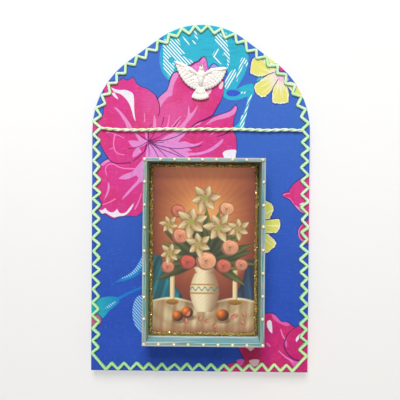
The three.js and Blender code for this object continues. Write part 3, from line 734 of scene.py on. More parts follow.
LIGHT_LINES = [
    (0.9, 0.6, "-76,-1.2 -72,-1.8 -69.8,-2.8 -66,-4 -62.6,-5.9"),
    (1.1, 0.7, "-69.6,-3 -70.7,-9 -70.2,-14.3 -68,-18 -62.2,-19.5"),
    (0.6, 0.8, "-73.8,-14.8 -70.4,-13.8"),
    (0.7, 1.1, "-76.3,-35.8 -77.2,-31 -75.8,-28 -72.5,-26.7 -70,-27.2 -66.5,-29.2 -62,-30.4 -54,-30.6"),
    (0.6, 1.0, "-79.5,-60 -75,-58.5 -69.3,-55.4"),
    (1.1, 0.7, "-52.8,-63 -50,-57 -48,-51"),
    (0.6, 1.1, "-45.8,14.2 -45.6,10 -45.7,8"),
    (0.6, 1.9, "-25.6,12.8 -26.2,8 -26.7,5.5 -28,1.5"),
    (0.7, 1.3, "-16.7,11.8 -19.5,8.4 -23.5,3.4"),
    (0.6, 1.3, "-17,8.8 -18.4,6 -20.5,2.6"),
    (0.8, 1.2, "66.2,-160.2 67.2,-164 69.4,-167.8"),
    (0.6, 1.5, "64.8,-177.8 70,-182.4 76,-186"),
    (0.9, 0.5, "-5,4.6 -2,6.3 0.8,7.7"),
    (0.9, 0.5, "67.4,-50.9 69.4,-50 72.2,-49.6"),
    (0.4, 0.6, "70.4,-52.9 73,-54.6 75.6,-57.8"),
    (0.6, 0.9, "83.6,-74 80.7,-77.7 79.8,-81 80.6,-85.4 83.6,-88.4"),
]
DARK_SETS, LIGHT_SETS = 3, 2


@dataclass(frozen=True)
class Arch:
    """Three-centred arch on straight sides, as an outline that can be grown or shrunk.

    Attributes:
        half_width, foot, rise: the board's own, from the frame.
        shoulder, crown: radii of the arcs at both sides and at the top.
        counts: points on the foot, a side, a shoulder arc, the crown arc and a slope between
            both arcs, where detail is 1.
    """

    half_width: float = float(BOARD[1, 0])
    foot: float = float(BOARD[0, 2])
    rise: float = float(BOARD[1, 2])
    shoulder: float = 69.0
    crown: float = 57.0
    counts: tuple[int, ...] = (176, 196, 66, 72, 32)

    def turning(self) -> float:
        """Angle at which the shoulder arc runs out into the straight to the crown arc."""
        across, up = self.shoulder - self.half_width, self.rise - self.crown
        return math.atan2(up, across) - math.acos((self.shoulder - self.crown) / math.hypot(across, up))

    @staticmethod
    def _arc(centre: Sequence[float], radius: float, span: Sequence[float], count: int) -> np.ndarray:
        """Arc without its last point: centre + radius * (cos, sin) of the angles in span."""
        turn = np.linspace(*span, count, endpoint=False)
        return np.stack([centre[0] + radius * np.cos(turn), centre[1] + radius * np.sin(turn)], -1)

    @staticmethod
    def _line(start: Sequence[float], end: Sequence[float], count: int) -> np.ndarray:
        """Straight stretch without its last point."""
        return np.linspace(start, end, count, endpoint=False)

    def outline(self, grow: float, detail: float = 1.0) -> np.ndarray:
        """Closed outline, anticlockwise from the lower left corner.

        Args:
            grow: how far outside the board's edge, in millimetres.
            detail: share of the usual counts of points, which are the same for every grow.

        Returns:
            Points in the plane.
        """
        foot, side, shoulder, crown, slope = (round(count * detail) for count in self.counts)
        turn, mirror = self.turning(), np.array([-1, 1])
        half, low = self.half_width + grow, self.foot - grow
        inner, radius = self.half_width - self.shoulder, self.shoulder + grow
        top = self._arc((0, self.rise - self.crown), self.crown + grow, (turn, math.pi - turn), crown)
        reach = radius * np.array([math.cos(turn), math.sin(turn)]) + [inner, 0]
        return np.vstack([
            self._line((-half, low), (half, low), foot),
            self._line((half, low), (half, 0), side),
            self._arc((inner, 0), radius, (0, turn), shoulder),
            self._line(reach, top[0], slope),
            top,
            self._line(top[0] * mirror, reach * mirror, slope),
            self._arc((-inner, 0), radius, (math.pi - turn, math.pi), shoulder),
            self._line((-half, 0), (-half, low), side),
        ])


class CottonInks:
    """Lays the inks of the printed cotton over one another, from the ground to the dark lines."""

    def __init__(self, cotton: "PrintedCotton", tree: Tree) -> None:
        """Takes the place on the flat cloth, two noises, and the hearts of the yellow flowers.

        Args:
            cotton: the finish that it serves.
            tree: its node tree.
        """
        self.cotton, self.tree = cotton, tree
        self.flat = tree.vector("flat")
        self.x, _, self.z = tree.split(self.flat)
        self.wander = tree.noise(self.flat, 0.05, 3.0)
        self.mottle = tree.noise(self.flat, 0.35, 4.0)
        self.lower = self.z.ramp(10.0, -10.0)
        self.heart_x, self.heart_z = 63.5 - self.lower * 25.5, 44.5 - self.lower * 121.5
        self.heart = self.away(self.heart_x, self.heart_z)
        self.cloth = Coat(tree, (64, 111, 199))

    def away(self, x: Operand, z: Operand) -> Value:
        """Distance from a point: the root of the summed squares."""
        return ((self.x - x) ** 2.0 + (self.z - z) ** 2.0) ** 0.5

    def disc(self, x: float, z: float, outer: float, inner: float) -> Value:
        """Soft disc round a point, 0 beyond outer millimetres and 1 within inner."""
        return self.away(x, z).ramp(outer, inner)

    def inside(self, key: str) -> Value:
        """1 inside an ink's shapes and 0 outside them."""
        return self.tree.number(key).ramp(self.cotton.bleed, -self.cotton.bleed)

    def lines(self, key: str, sets: int) -> Value:
        """Fine lines of one tone.

        Args:
            key: name of the tone.
            sets: how many sets of lines it has.

        Returns:
            1 on the lines: the greatest of the masks of the sets.
        """
        masks = []
        for k in range(sets):
            across, off = self.tree.number(f"{key}_across_{k}"), self.tree.number(f"{key}_off_{k}")
            masks.append(abs(across).ramp(1.3, 0.7) * off.ramp(0.8, 0.2))
        union = masks[0]
        for mask in masks[1:]:
            union = self.tree.math("MAXIMUM", union, mask)
        return union

    def grounds(self) -> None:
        """Blue ground, with painted shade that darkens it towards the bottom, and turquoise and night-blue
        shapes.
        """
        x, z = self.x, self.z
        low_sky = (
            Coat(self.tree, (44, 168, 186))
            .over(x.ramp(-84.0, -68.0), (18, 138, 194))
            .over(x.ramp(-68.0, -62.0), (28, 114, 206))
            .over(x.ramp(-57.0, -53.0) * z.ramp(-130.0, -134.0), (40, 108, 196))
            .over(z.ramp(-128.0, -124.0) * x.ramp(-72.0, -56.0), (30, 132, 202))
        )
        streaks = self.tree.drawn_noise(self.flat, (0.06, 1.0, 0.9), 2.0)
        sky = (
            Coat(self.tree, (48, 178, 206))
            .over(x.ramp(-29.0, -35.0) * z.ramp(30.0, 40.0), (60, 158, 220))
            .over(z.ramp(-60.0, -100.0), low_sky)
            .over(streaks.ramp(0.45, 0.7) * 0.5, (28, 150, 176))
        )
        # painted shade: the blue ground darkens towards the bottom, where less light falls
        self.cloth.over(z.ramp(80.0, -170.0), (38, 77, 178))
        self.cloth.over((self.wander - 0.35) * 0.55, (58, 98, 214))
        self.cloth.over(self.inside("turquoise"), sky)
        self.cloth.over(self.inside("night"), (58, 88, 205))

    def hatch(self) -> None:
        """Chalky lines on two slants, the sine of the place across them, finer low down."""
        x, z = self.x, self.z
        pitch = 2 * math.pi / (self.cotton.stripe - z.ramp(-40.0, -60.0) * self.cotton.finer)
        chalk = Coat(self.tree, (238, 251, 251)).over(z.ramp(-60.0, -100.0), (168, 212, 244))
        falling = ((x * 0.733 + z * 0.68) * pitch).sine().ramp(-0.15, 0.4)
        rising = ((x * 0.86 - z * 0.5) * pitch).sine().ramp(-0.15, 0.4)
        gap = self.tree.number("gap").ramp(-0.2, 0.2)
        self.cloth.over(self.inside("falling") * self.inside("turquoise") * falling * gap * 0.95, chalk)
        self.cloth.over(self.inside("rising") * rising * 0.95, chalk)

    def yellow(self) -> None:
        """Yellow flowers with ragged edges, pale spokes, hearts and rims, and dark outlines."""
        tree, z, heart, mottle = self.tree, self.z, self.heart, self.mottle
        ragged = (mottle - 0.5) * 2.2 + (tree.noise(self.flat, 0.8, 1.0) - 0.5) * 1.6
        edge = tree.number("yellow") + ragged * heart.ramp(10.0, 14.0)
        bearing = tree.math("ARCTAN2", z - self.heart_z, self.x - self.heart_x)
        spoke = (bearing * 46.0 + heart * 0.25).sine() * 0.5 + (bearing * 21.0 + 1.0).sine() * 0.5
        spread_out = (heart - self.lower * 9.0).ramp(23.0, 9.0)
        rim = edge.ramp(-1.1, -0.5) * heart.ramp(7.0, 14.0)
        petals = (
            Coat(tree, (227, 223, 116))
            .over(z.ramp(0.0, -60.0), (222, 222, 98))
            .over(spoke.ramp(0.1, 0.8) * spread_out * 0.85, (248, 244, 214))
            .over(heart.ramp(13.0, 4.0) * 0.9, (240, 232, 222))
            .over(rim * mottle.ramp(0.34, 0.5), (246, 243, 222))
        )
        outline = edge.ramp(1.2, 0.6) * edge.ramp(-0.2, 0.1)
        self.cloth.over(outline * (0.45 + 0.5 * mottle), (40, 62, 120))
        self.cloth.over(edge.ramp(self.cotton.bleed, -self.cotton.bleed), petals)

    def pink(self) -> None:
        """Pink flowers, warmer or paler in places, with painted shadow below the box and painted shade below
        the dove, and a broken dark outline.
        """
        tree, x, z = self.tree, self.x, self.z
        edge = tree.number("pink")
        fleck = tree.drawn_noise(self.flat, (0.20, 1.0, 2.2), 1.0).ramp(0.60, 0.76)
        petals = (
            Coat(tree, (214, 56, 139))
            .over(z.ramp(-40.0, -150.0), (195, 33, 114))
            .over(self.disc(-30.0, 16.0, 34.0, 8.0) * 0.6, (222, 96, 160))
            .over(self.wander.ramp(0.45, 0.62) * 0.5, (208, 48, 108))
            # painted shadow: darker red pink below the box's lower right, where the box's shadow falls
            .over(self.disc(42.0, -181.0, 13.0, 3.0) * 0.7, (176, 38, 62))
            # painted shade: crimson pink just below the dove's tail
            .over(self.disc(1.0, 25.0, 12.0, 3.0) * 0.45, (206, 66, 96))
            .over(tree.noise(self.flat, 0.2, 2.0).ramp(0.5, 0.8) * 0.4, (236, 66, 130))
            .over(fleck * z.ramp(-70.0, -30.0) * 0.38, (240, 150, 196))
            .over(x.ramp(-70.0, -78.0) * z.ramp(-140.0, -146.0) * 0.7, (176, 116, 134))
        )
        outline = edge.ramp(1.0, 0.5) * edge.ramp(-0.15, 0.1)
        self.cloth.over(outline * (0.3 + 0.8 * self.wander), (46, 30, 92))
        self.cloth.over(self.inside("pink"), petals)

    def highlights(self) -> None:
        """Lavender and white patches, fine light and dark lines, and seeds in the hearts."""
        x, z, mottle = self.x, self.z, self.mottle
        lavender = (
            Coat(self.tree, (228, 150, 218))
            .over(mottle.ramp(0.35, 0.7), (222, 132, 206))
            .over(z.ramp(-16.0, 12.0) * 0.5, (230, 140, 192))
            .over(z.ramp(-120.0, -140.0), (222, 98, 174))
            .over(self.disc(9.5, 50.5, 6.6, 4.0), (150, 152, 230))
            .over(self.disc(-1.5, 52.0, 9.0, 5.0) * mottle.ramp(0.6, 0.4) * 0.8, (214, 92, 190))
        )
        white = (
            Coat(self.tree, (240, 234, 243))
            .over(mottle.ramp(0.4, 0.65), (228, 226, 240))
            .over(z.ramp(-173.0, -176.0) * 0.8, (226, 178, 184))
            .over(x.ramp(0.0, 3.0) * z.ramp(24.0, 28.0) * 0.8, (246, 190, 212))
        )
        seeds = self.heart.ramp(9.0, 3.0) * self.tree.noise(self.flat, 0.9, 1.0).ramp(0.56, 0.64)
        self.cloth.over(self.inside("lavender") * 0.93, lavender)
        self.cloth.over(self.lines("light", LIGHT_SETS) * 0.9, (242, 134, 196))
        self.cloth.over(self.inside("white"), white)
        self.cloth.over(seeds * 0.7, (200, 104, 170))
        self.cloth.over(self.lines("dark", DARK_SETS) * 0.9, (74, 26, 90))

    def weave(self) -> None:
        """Threads both ways, the product of two sines, with slubs and pale dashes along them."""
        tree, flat = self.tree, self.flat
        threads = (self.x * (2 * math.pi / self.cotton.pick)).sine()
        threads = threads * (self.z * (2 * math.pi / self.cotton.pick)).sine()
        slub = tree.drawn_noise(flat, (0.05, 1.0, 1.6), 2.0)
        fall = tree.drawn_noise(flat, (1.6, 1.0, 0.05), 2.0)
        dash = tree.drawn_noise(flat, (0.16, 1.0, 1.5), 1.0).ramp(0.58, 0.78)
        drop = tree.drawn_noise(flat, (1.5, 1.0, 0.16), 1.0).ramp(0.60, 0.78)
        self.cloth.over((dash + drop) * 0.10, (150, 180, 226))
        tone = 0.86 + slub * 0.17 + fall * 0.11 + (self.mottle - 0.5) * 0.10 + threads * 0.03
        height = threads * 0.25 + slub * 0.8 + fall * 0.7 + tree.noise(flat, 2.4, 3.0) * 0.35
        tree.finish(
            Base_Color=tree.shade(self.cloth, tone), Roughness=0.9, Specular_IOR_Level=0.3,
            Normal=tree.bump(height, 0.10, 0.8),
        )


@dataclass(frozen=True)
class PrintedCotton(Finish):
    """Cotton printed with large flowers on blue. Each ink is a signed distance kept per vertex.

    Attributes:
        pick: distance from thread to thread.
        stripe, finer: pitch of the hatch, and how much less it is on the lower leaf.
        bleed: half the width over which an ink's edge fades.
        reach: greatest distance that is kept.
        line_steps: points on each stretch of a fine line.
    """

    name: str = "printed_cotton"
    pick: float = 0.5
    stripe: float = 2.0
    finer: float = 0.2
    bleed: float = 0.22
    reach: float = 8.0
    line_steps: int = 6

    def fields(self, places: np.ndarray) -> dict[str, np.ndarray]:
        """Attributes that the finish reads.

        Args:
            places: the vertices on the cloth laid flat, in millimetres.

        Returns:
            For each ink the distance from its edge, negative inside it. For each set of fine
            lines, the distance across the nearest line in half-widths, and the distance off it.
        """
        shapes = {
            "turquoise": TURQUOISE, "falling": FALLING_HATCH, "rising": RISING_HATCH, "yellow": YELLOW,
            "pink": PINK, "lavender": LAVENDER, "white": WHITE, "night": NIGHT, "gap": DOTS_OF_HATCH,
        }
        result = {
            key: signed_distance(places, [spline(text) for text in texts], self.reach)
            for key, texts in shapes.items()
        }
        for key, lines, sets in (("dark", DARK_LINES, DARK_SETS), ("light", LIGHT_LINES, LIGHT_SETS)):
            for number in range(sets):
                across, off = self._lines_off(places, lines[number::sets])
                result[f"{key}_across_{number}"] = across
                result[f"{key}_off_{number}"] = off
        return result

    def _lines_off(
        self, places: np.ndarray, lines: Sequence[tuple[float, float, str]]
    ) -> tuple[np.ndarray, np.ndarray]:
        """Distances from fine lines.

        Args:
            places: N x 2.
            lines: for each, its width at both ends, and its points.

        Returns:
            Distances across the nearest line, in half-widths, and off its edge.
        """
        across, off = np.full(len(places), self.reach), np.full(len(places), self.reach)
        for start, end, text in lines:
            line = spline(text, self.line_steps, False)
            within, distance, side, share, _ = near_segments(places, line, False, self.reach)
            half = (start + (end - start) * share) / 2
            nearer = distance < off[within] + half
            across[within] = np.where(nearer, side * distance / half, across[within])
            off[within] = np.where(nearer, distance - half, off[within])
        return np.clip(across, -self.reach, self.reach), off

    def paint(self, tree: Tree) -> None:
        """Lays every ink, and the weave over them."""
        inks = CottonInks(self, tree)
        inks.grounds()
        inks.hatch()
        inks.yellow()
        inks.pink()
        inks.highlights()
        inks.weave()


@dataclass(frozen=True)
class Cover:
    """The cotton that is wrapped round the board and turned over on its back.

    Attributes:
        turnover, hem_steps: how far inside the board's edge the rings on its back lie.
        side_steps: Y of the rings on the board's side.
        front_roll, back_roll: radii of the cloth at the board's edges.
        roll_steps: rings on each of these rounds.
        rings: rings from the front's edge to its spine.
        spine: top and bottom of the upright line that the front's rings close in on.
        weld: decimals of a millimetre at which points are one.
    """

    arch: Arch = Arch()
    turnover: float = 14.0
    hem_steps: tuple[float, ...] = (-10.0, -6.0, -2.5)
    side_steps: tuple[float, ...] = (-3.0, -4.6, -6.0)
    front_roll: float = 0.9
    back_roll: float = 0.6
    roll_steps: int = 5
    rings: int = 94
    spine: tuple[float, float] = (28.0, -110.0)
    weld: int = 4

    def edge_rings(self) -> np.ndarray:
        """Rings of the cloth round the board's edge.

        Returns:
            From the hem on the back round to the front, grow and Y of each ring.
        """
        quarter = np.linspace(0, math.pi / 2, self.roll_steps)
        sine, cosine = np.sin(quarter), np.cos(quarter)
        outer, back, front = CLOTH_OVERHANG, self.back_roll, self.front_roll
        return np.vstack([
            [(grow, CLOTH_BACK) for grow in (-self.turnover, *self.hem_steps)],
            np.stack([outer - back + back * sine, CLOTH_BACK - back + back * cosine], -1),
            [(outer, y) for y in self.side_steps],
            np.stack([outer - front + front * cosine, CLOTH + front - front * sine], -1),
        ])

    def front_rings(self, rim: np.ndarray) -> np.ndarray:
        """Rings that close in on the spine.

        Args:
            rim: the front's outermost ring.

        Returns:
            Places on straight ways from each point of the rim to its own on the spine, which
            climbs from the foot to the crown and comes down again as the rim is followed.
        """
        closed = way_along(np.vstack([rim, rim[:1]]))
        way = closed[:-1] / closed[-1]
        bottom = np.argmin(np.hypot(rim[:, 0], rim[:, 1] - rim[:, 1].min()))
        climb = 1.0 - np.abs(1.0 - 2.0 * ((way - way[bottom]) % 1.0))
        high, low = self.spine
        target = np.stack([np.zeros(len(rim)), low + (high - low) * climb], -1)
        inward = (np.arange(1, self.rings + 1) / self.rings)[:, None, None]
        return rim * (1 - inward) + target * inward

    def skin(self, points: np.ndarray, around: int) -> tuple[np.ndarray, list[np.ndarray]]:
        """Welds the rings' points along the spine.

        Args:
            points: the points, ring by ring.
            around: how many a ring has.

        Returns:
            Numbers of the points that stay, and quads and triangles that face out.
        """
        _, first, number = np.unique(
            np.round(points, self.weld), axis=0, return_index=True, return_inverse=True
        )
        faces = number.ravel()[grid_faces(len(points) // around, around, False, True)]
        innermost = [list(dict.fromkeys(face)) for face in faces[-around:].tolist()]
        quads, triangles = ([face for face in innermost if len(face) == size] for size in (4, 3))
        faces = [np.vstack([faces[:-around], quads]), np.array(triangles, int).reshape(-1, 3)]
        a, b, c = (points[first][faces[0][:, k]] for k in range(3))
        if np.cross(b - a, c - a)[:, 1].sum() > 0:
            faces = [part[:, ::-1] for part in faces]
        return first, faces

    def build(self) -> bpy.types.Object:
        """Makes the cover, one sheet open along the hem on the back.

        Returns:
            The cover. Its attribute flat holds each vertex's place on the cloth laid flat.
        """
        profile = self.edge_rings()
        rolled = way_along(profile)
        laid = profile[-1, 0] + rolled[-1] - rolled
        edge = np.stack([self.arch.outline(grow) for grow in profile[:, 0]])
        flat_edge = np.stack([self.arch.outline(grow) for grow in laid])
        front = self.front_rings(edge[-1])
        depth = np.append(profile[:, 1], np.full(self.rings, CLOTH))[:, None]
        places = np.vstack([edge, front])
        points = stand(places[..., 0], depth, places[..., 1]).reshape(-1, 3)
        kept, faces = self.skin(points, edge.shape[1])
        flat = np.vstack([flat_edge, front]).reshape(-1, 2)[kept]
        finish = PrintedCotton()
        values = finish.fields(flat) | {"flat": stand(flat[:, 0], 0.0, flat[:, 1])}
        cover = add_piece(
            "cover", points[kept], faces, finish.material(), ["cotton_cover"], values, False,
        )
        cut = self.arch.outline(laid[0]) * MM
        return cover


# Rickrack and cord


@dataclass(frozen=True)
class LimeBraid(Finish):
    """Lime rickrack: flat braid whose yarns cross at a slant.

    Attributes:
        yarn: distance from yarn to yarn along the braid.
        slant: how far a yarn runs along for each millimetre across.
    """

    name: str = "lime_braid"
    yarn: float = 0.85
    slant: float = 0.7

    def paint(self, tree: Tree) -> None:
        """Two slanting sines for the yarns, with painted highlight on the upper left and at the right of the
        foot, and painted shade lower down, below the box, between the yarns and at the edges.
        """
        along, across, place = tree.number("along"), tree.number("across"), tree.place()
        x, _, z = tree.split(place)
        turn = 2 * math.pi / self.yarn
        left = ((along + across * self.slant) * turn).sine()
        right = ((along - across * self.slant) * turn).sine()
        weave = tree.math("MAXIMUM", left, right)
        fuzz = tree.noise(place, 2.6, 3.0)
        lime = (
            Coat(tree, (206, 252, 190))
            .over(tree.noise(place, 0.12, 2.0).ramp(0.35, 0.68), (230, 253, 222))
            # painted highlight: paler on the upper left
            .over(x.ramp(-40.0, -84.0) * z.ramp(-80.0, 10.0) * 0.6, (234, 252, 228))
            # painted shade: greener and darker lower down
            .over(z.ramp(-60.0, -170.0) * 0.65, (172, 244, 168))
            # painted shadow: darker along the left of the foot, below the box
            .over(x.ramp(30.0, -20.0) * z.ramp(-180.0, -188.0) * 0.4, (158, 214, 122))
            # painted highlight: paler at the right of the foot
            .over(x.ramp(10.0, 60.0) * z.ramp(-172.0, -184.0) * 0.8, (226, 246, 182))
            # painted shade: darker between the yarns
            .over((1.0 - weave).ramp(0.5, 1.9) * 0.5, (138, 220, 116))
            # painted shade: darker at the braid's edges
            .over(abs(across).ramp(0.75, 1.25) * 0.8, (86, 160, 80))
        )
        tree.finish(
            Base_Color=tree.shade(lime, 0.93 + fuzz * 0.14), Roughness=0.7, Sheen_Weight=0.25,
            Normal=tree.bump(weave * 0.5 + fuzz * 0.5, 0.16, 0.9),
        )


@dataclass(frozen=True)
class Edging:
    """Rickrack round the front edge. Its ends overlap on the left, below the cord.

    Attributes:
        half_width, thickness: the braid's own.
        swing, pitch, foot_pitch: how far its turns swing out, and how far apart they are.
        stray, most_stray: spread and limit of the turns' drift off their places.
        bend: radius of its middle line at a turn.
        bend_steps: points on a round, and on a straight between two.
        centre: how far outside the board's edge its path runs; negative is inside.
        corner_rise, corner_run: where the zigzag stops at the foot's corners.
        join_drop, overlap: how far below the arch's spring its ends meet, and their overlap.
        points_across: points on the top of its section.
        dome, lip, edge: power of the dome, and shares of the thickness under it and at its edge.
        sole: share of its half-width that lies on the cloth.
        pinch_step, pinch, pinch_limits: distance, spread and limits of its changes of width.
        ripple, ripple_pitch: share and pitch of the ripple of its edge.
        lap_lift: how high the upper end stands over the lower one.
    """

    arch: Arch = Arch()
    half_width: float = 1.34
    thickness: float = 1.5
    swing: float = 2.75
    pitch: float = 10.5
    foot_pitch: float = 10.1
    stray: float = 0.38
    most_stray: float = 0.6
    bend: float = 0.9
    bend_steps: int = 7
    centre: float = -3.2
    corner_rise: float = 14.0
    corner_run: float = 12.5
    join_drop: float = 6.0
    overlap: float = 2.2
    points_across: int = 11
    dome: float = 2.4
    lip: float = 0.14
    edge: float = 0.12
    sole: float = 0.6
    pinch_step: float = 2.6
    pinch: float = 0.11
    pinch_limits: tuple[float, float] = (-0.2, 0.16)
    ripple: float = 0.05
    ripple_pitch: float = 1.1
    lap_lift: float = 0.9

    def _zigzag(self, path: np.ndarray, pitch: float) -> np.ndarray:
        """Zigzag along a path.

        Args:
            path: M x 2, in millimetres.
            pitch: length of one wave.

        Returns:
            Its turns, outer and inner by turns, each a little astray.
        """
        length = way_along(path)[-1]
        at = np.linspace(0, length, 2 * round(length / pitch) + 1)
        along = unit(at_lengths(path, at + 0.01) - at_lengths(path, at - 0.01))
        side = np.where(np.arange(len(at)) % 2 == 0, self.swing, -self.swing)[:, None]
        astray = np.random.default_rng(len(at)).normal(0, self.stray, (len(at), 2))
        astray = np.clip(astray, -self.most_stray, self.most_stray)
        return at_lengths(path, at) + left_of(along) * side + astray

    def turns(self) -> np.ndarray:
        """Zigzag round the board.

        Returns:
            All turns, clockwise from the foot of the left side.
        """
        outline = self.arch.outline(self.centre, 6.0)
        half = self.arch.half_width + self.centre
        start = self.arch.foot - CLOTH_OVERHANG + self.corner_rise
        over = np.vstack([[(-half, start)], outline[outline[:, 1] > start][::-1], [(half, start)]])
        reach = self.arch.half_width + CLOTH_OVERHANG - self.corner_run
        low = self.arch.foot - self.centre
        under = np.array([(reach, low), (-reach, low)])
        return np.vstack([self._zigzag(over, self.pitch), self._zigzag(under, self.foot_pitch)])

    def route(self) -> np.ndarray:
        """Middle line of the strand.

        Returns:
            Points: at each turn a parabola, start (1 - t)^2 + corner 2t (1 - t) + end t^2, that
            sets in where a round of radius bend would, and a straight on to the next.
        """
        turns = self.turns()
        first = int(np.argmax(turns[:, 1] > -self.join_drop))
        middle = (turns[first] + turns[first - 1]) / 2
        lap = unit(turns[first] - turns[first - 1]) * self.overlap
        line = np.vstack([middle - lap, turns[first:], turns[:first], middle + lap])
        steps = unit(np.diff(line, axis=0))
        corner, into, out = line[1:-1], steps[:-1], steps[1:]
        half_turn = np.arccos(np.clip((into * out).sum(1), -1, 1)) / 2
        setback = (self.bend * np.tan(half_turn))[:, None]
        start, end = corner - into * setback, corner + out * setback
        ahead = np.vstack([start[1:], line[-1:]])
        t = np.linspace(0, 1, self.bend_steps)[None, :, None]
        rounds = start[:, None] * (1 - t) ** 2 + corner[:, None] * 2 * t * (1 - t) + end[:, None] * t**2
        between = t[:, 1:-1]
        straights = end[:, None] * (1 - between) + ahead[:, None] * between
        lead = np.linspace(line[0], start[0], 5, endpoint=False)
        return np.vstack([lead, np.concatenate([rounds, straights], 1).reshape(-1, 2), line[-1:]])

    def section(self) -> tuple[np.ndarray, np.ndarray]:
        """Share of the half-width and of the thickness round the section, a dome on a flat sole."""
        top = np.linspace(-1, 1, self.points_across)
        height = (1 - np.abs(top) ** self.dome) ** 0.5 * (1 - self.lip) + self.lip
        height[[0, -1]] = self.edge
        return np.append(top, [self.sole, -self.sole]), np.append(height, [0.0, 0.0])

    def build(self) -> bpy.types.Object:
        """Makes the rickrack: its section carried along its route, pinched and rippled.

        Returns:
            The piece.
        """
        line = self.route()
        way = way_along(line)
        random = np.random.default_rng(5)
        knots = np.arange(0, way[-1] + self.pinch_step, self.pinch_step)
        pinch = np.clip(random.normal(0, self.pinch, len(knots)), *self.pinch_limits)
        ripple = 1 + self.ripple * np.sin(way * 2 * np.pi / self.ripple_pitch) + np.interp(way, knots, pinch)
        lap_start, lap_end = way[-1] - 2 * self.overlap - 1.0, way[-1] - 1.2 * self.overlap
        lift = smoothstep(lap_start, lap_end, way) * self.lap_lift
        section_x, section_y = self.section()
        across = section_x * self.half_width * ripple[:, None]
        places = line[:, None] + left_of(unit(np.gradient(line, axis=0)))[:, None] * across[..., None]
        raised = section_y * self.thickness + lift[:, None]
        points, faces = loft(stand(places[..., 0], CLOTH - raised, places[..., 1]))
        values = {
            "along": np.append(np.repeat(way, len(section_x)), [0.0, way[-1]]),
            "across": np.append(across, [0.0, 0.0]),
        }
        return add_piece(
            "rickrack", points, faces, LimeBraid().material(), ["rickrack_trim"], values,
        )


@dataclass(frozen=True)
class LimeTwist(Finish):
    """Pale lime cord of two strands with fine yarns along them."""

    name: str = "lime_twist"

    def paint(self, tree: Tree) -> None:
        """Yarns as a sine that winds round the strand, with painted shade between them."""
        place = tree.place()
        yarn = (tree.number("around") * 7.0 + tree.number("along") * 2.2).sine()
        fuzz = tree.noise(place, 2.2, 3.0)
        lime = (
            Coat(tree, (222, 248, 188))
            .over(tree.noise(place, 0.15, 2.0).ramp(0.35, 0.65), (242, 251, 224))
            # painted shade: darker between the yarns
            .over(yarn.ramp(0.3, -1.0) * 0.3, (186, 226, 144))
        )
        tree.finish(
            Base_Color=tree.shade(lime, 0.95 + fuzz * 0.1), Roughness=0.6, Sheen_Weight=0.2,
            Normal=tree.bump(yarn * 0.3 + fuzz * 0.7, 0.12, 0.8),
        )


@dataclass(frozen=True)
class DividerCord:
    """Two-strand cord glued across the front.

    Attributes:
        ends, level: X of its ends, and the height of its middle line.
        sway: how far the line strays from that height at points spread evenly along it.
        steps: points on each stretch between these.
        lay: length of one turn of the twist.
        strand, offset: radius of a strand, and how far its middle is off the cord's.
        points_around: points round a strand.
        end_size, end_run: share of a strand's radius at its ends, and how far that reaches.
    """

    ends: tuple[float, float] = (-80.2, 81.2)
    level: float = 1.3
    sway: tuple[float, ...] = (0.7, -0.5, -0.7, -0.3, 0.3, -0.2, 0.4, 0.1, 0.5, 0.1, -0.3, 0.2, -0.3)
    steps: int = 36
    lay: float = 13.5
    strand: float = 0.8
    offset: float = 0.52
    points_around: int = 14
    end_size: float = 0.7
    end_run: float = 1.2

    def twist(self, middle: np.ndarray, phase: float) -> Limb:
        """One strand, a circle carried along a helix.

        Args:
            middle: the cord's middle line in the plane.
            phase: the strand's angle round it at X = 0.

        Returns:
            The strand, with the angle round it and the way along it as attributes.
        """
        x, level = middle[:, :1], middle[:, 1:] + self.level
        around = full_turn(self.points_around)[None]
        wind = 2 * np.pi * x / self.lay + phase
        to_end = np.minimum(x - self.ends[0], self.ends[1] - x)
        radius = self.strand * (self.end_size + (1 - self.end_size) * smoothstep(0.0, self.end_run, to_end))
        y = CLOTH - self.offset - self.strand + self.offset * np.sin(wind) + radius * np.sin(around)
        z = level + self.offset * np.cos(wind) + radius * np.cos(around)
        return Limb(stand(x, y, z), {
            "around": np.append(np.broadcast_to(around, y.shape), [0.0, 0.0]),
            "along": np.append(np.broadcast_to(x, y.shape), [x[0, 0], x[-1, 0]]),
        })

    def build(self) -> bpy.types.Object:
        """Makes both strands as one piece, round its own swaying middle line.

        Returns:
            The piece.
        """
        knots = np.linspace(*self.ends, len(self.sway))
        middle = spline(" ".join(f"{x},{z}" for x, z in zip(knots, self.sway)), self.steps, False)
        points, faces, values = join_limbs([self.twist(middle, phase) for phase in (0.0, np.pi)])
        return add_piece(
            "cord", points, faces, LimeTwist().material(), ["divider_cord"], values,
        )


# Painted box


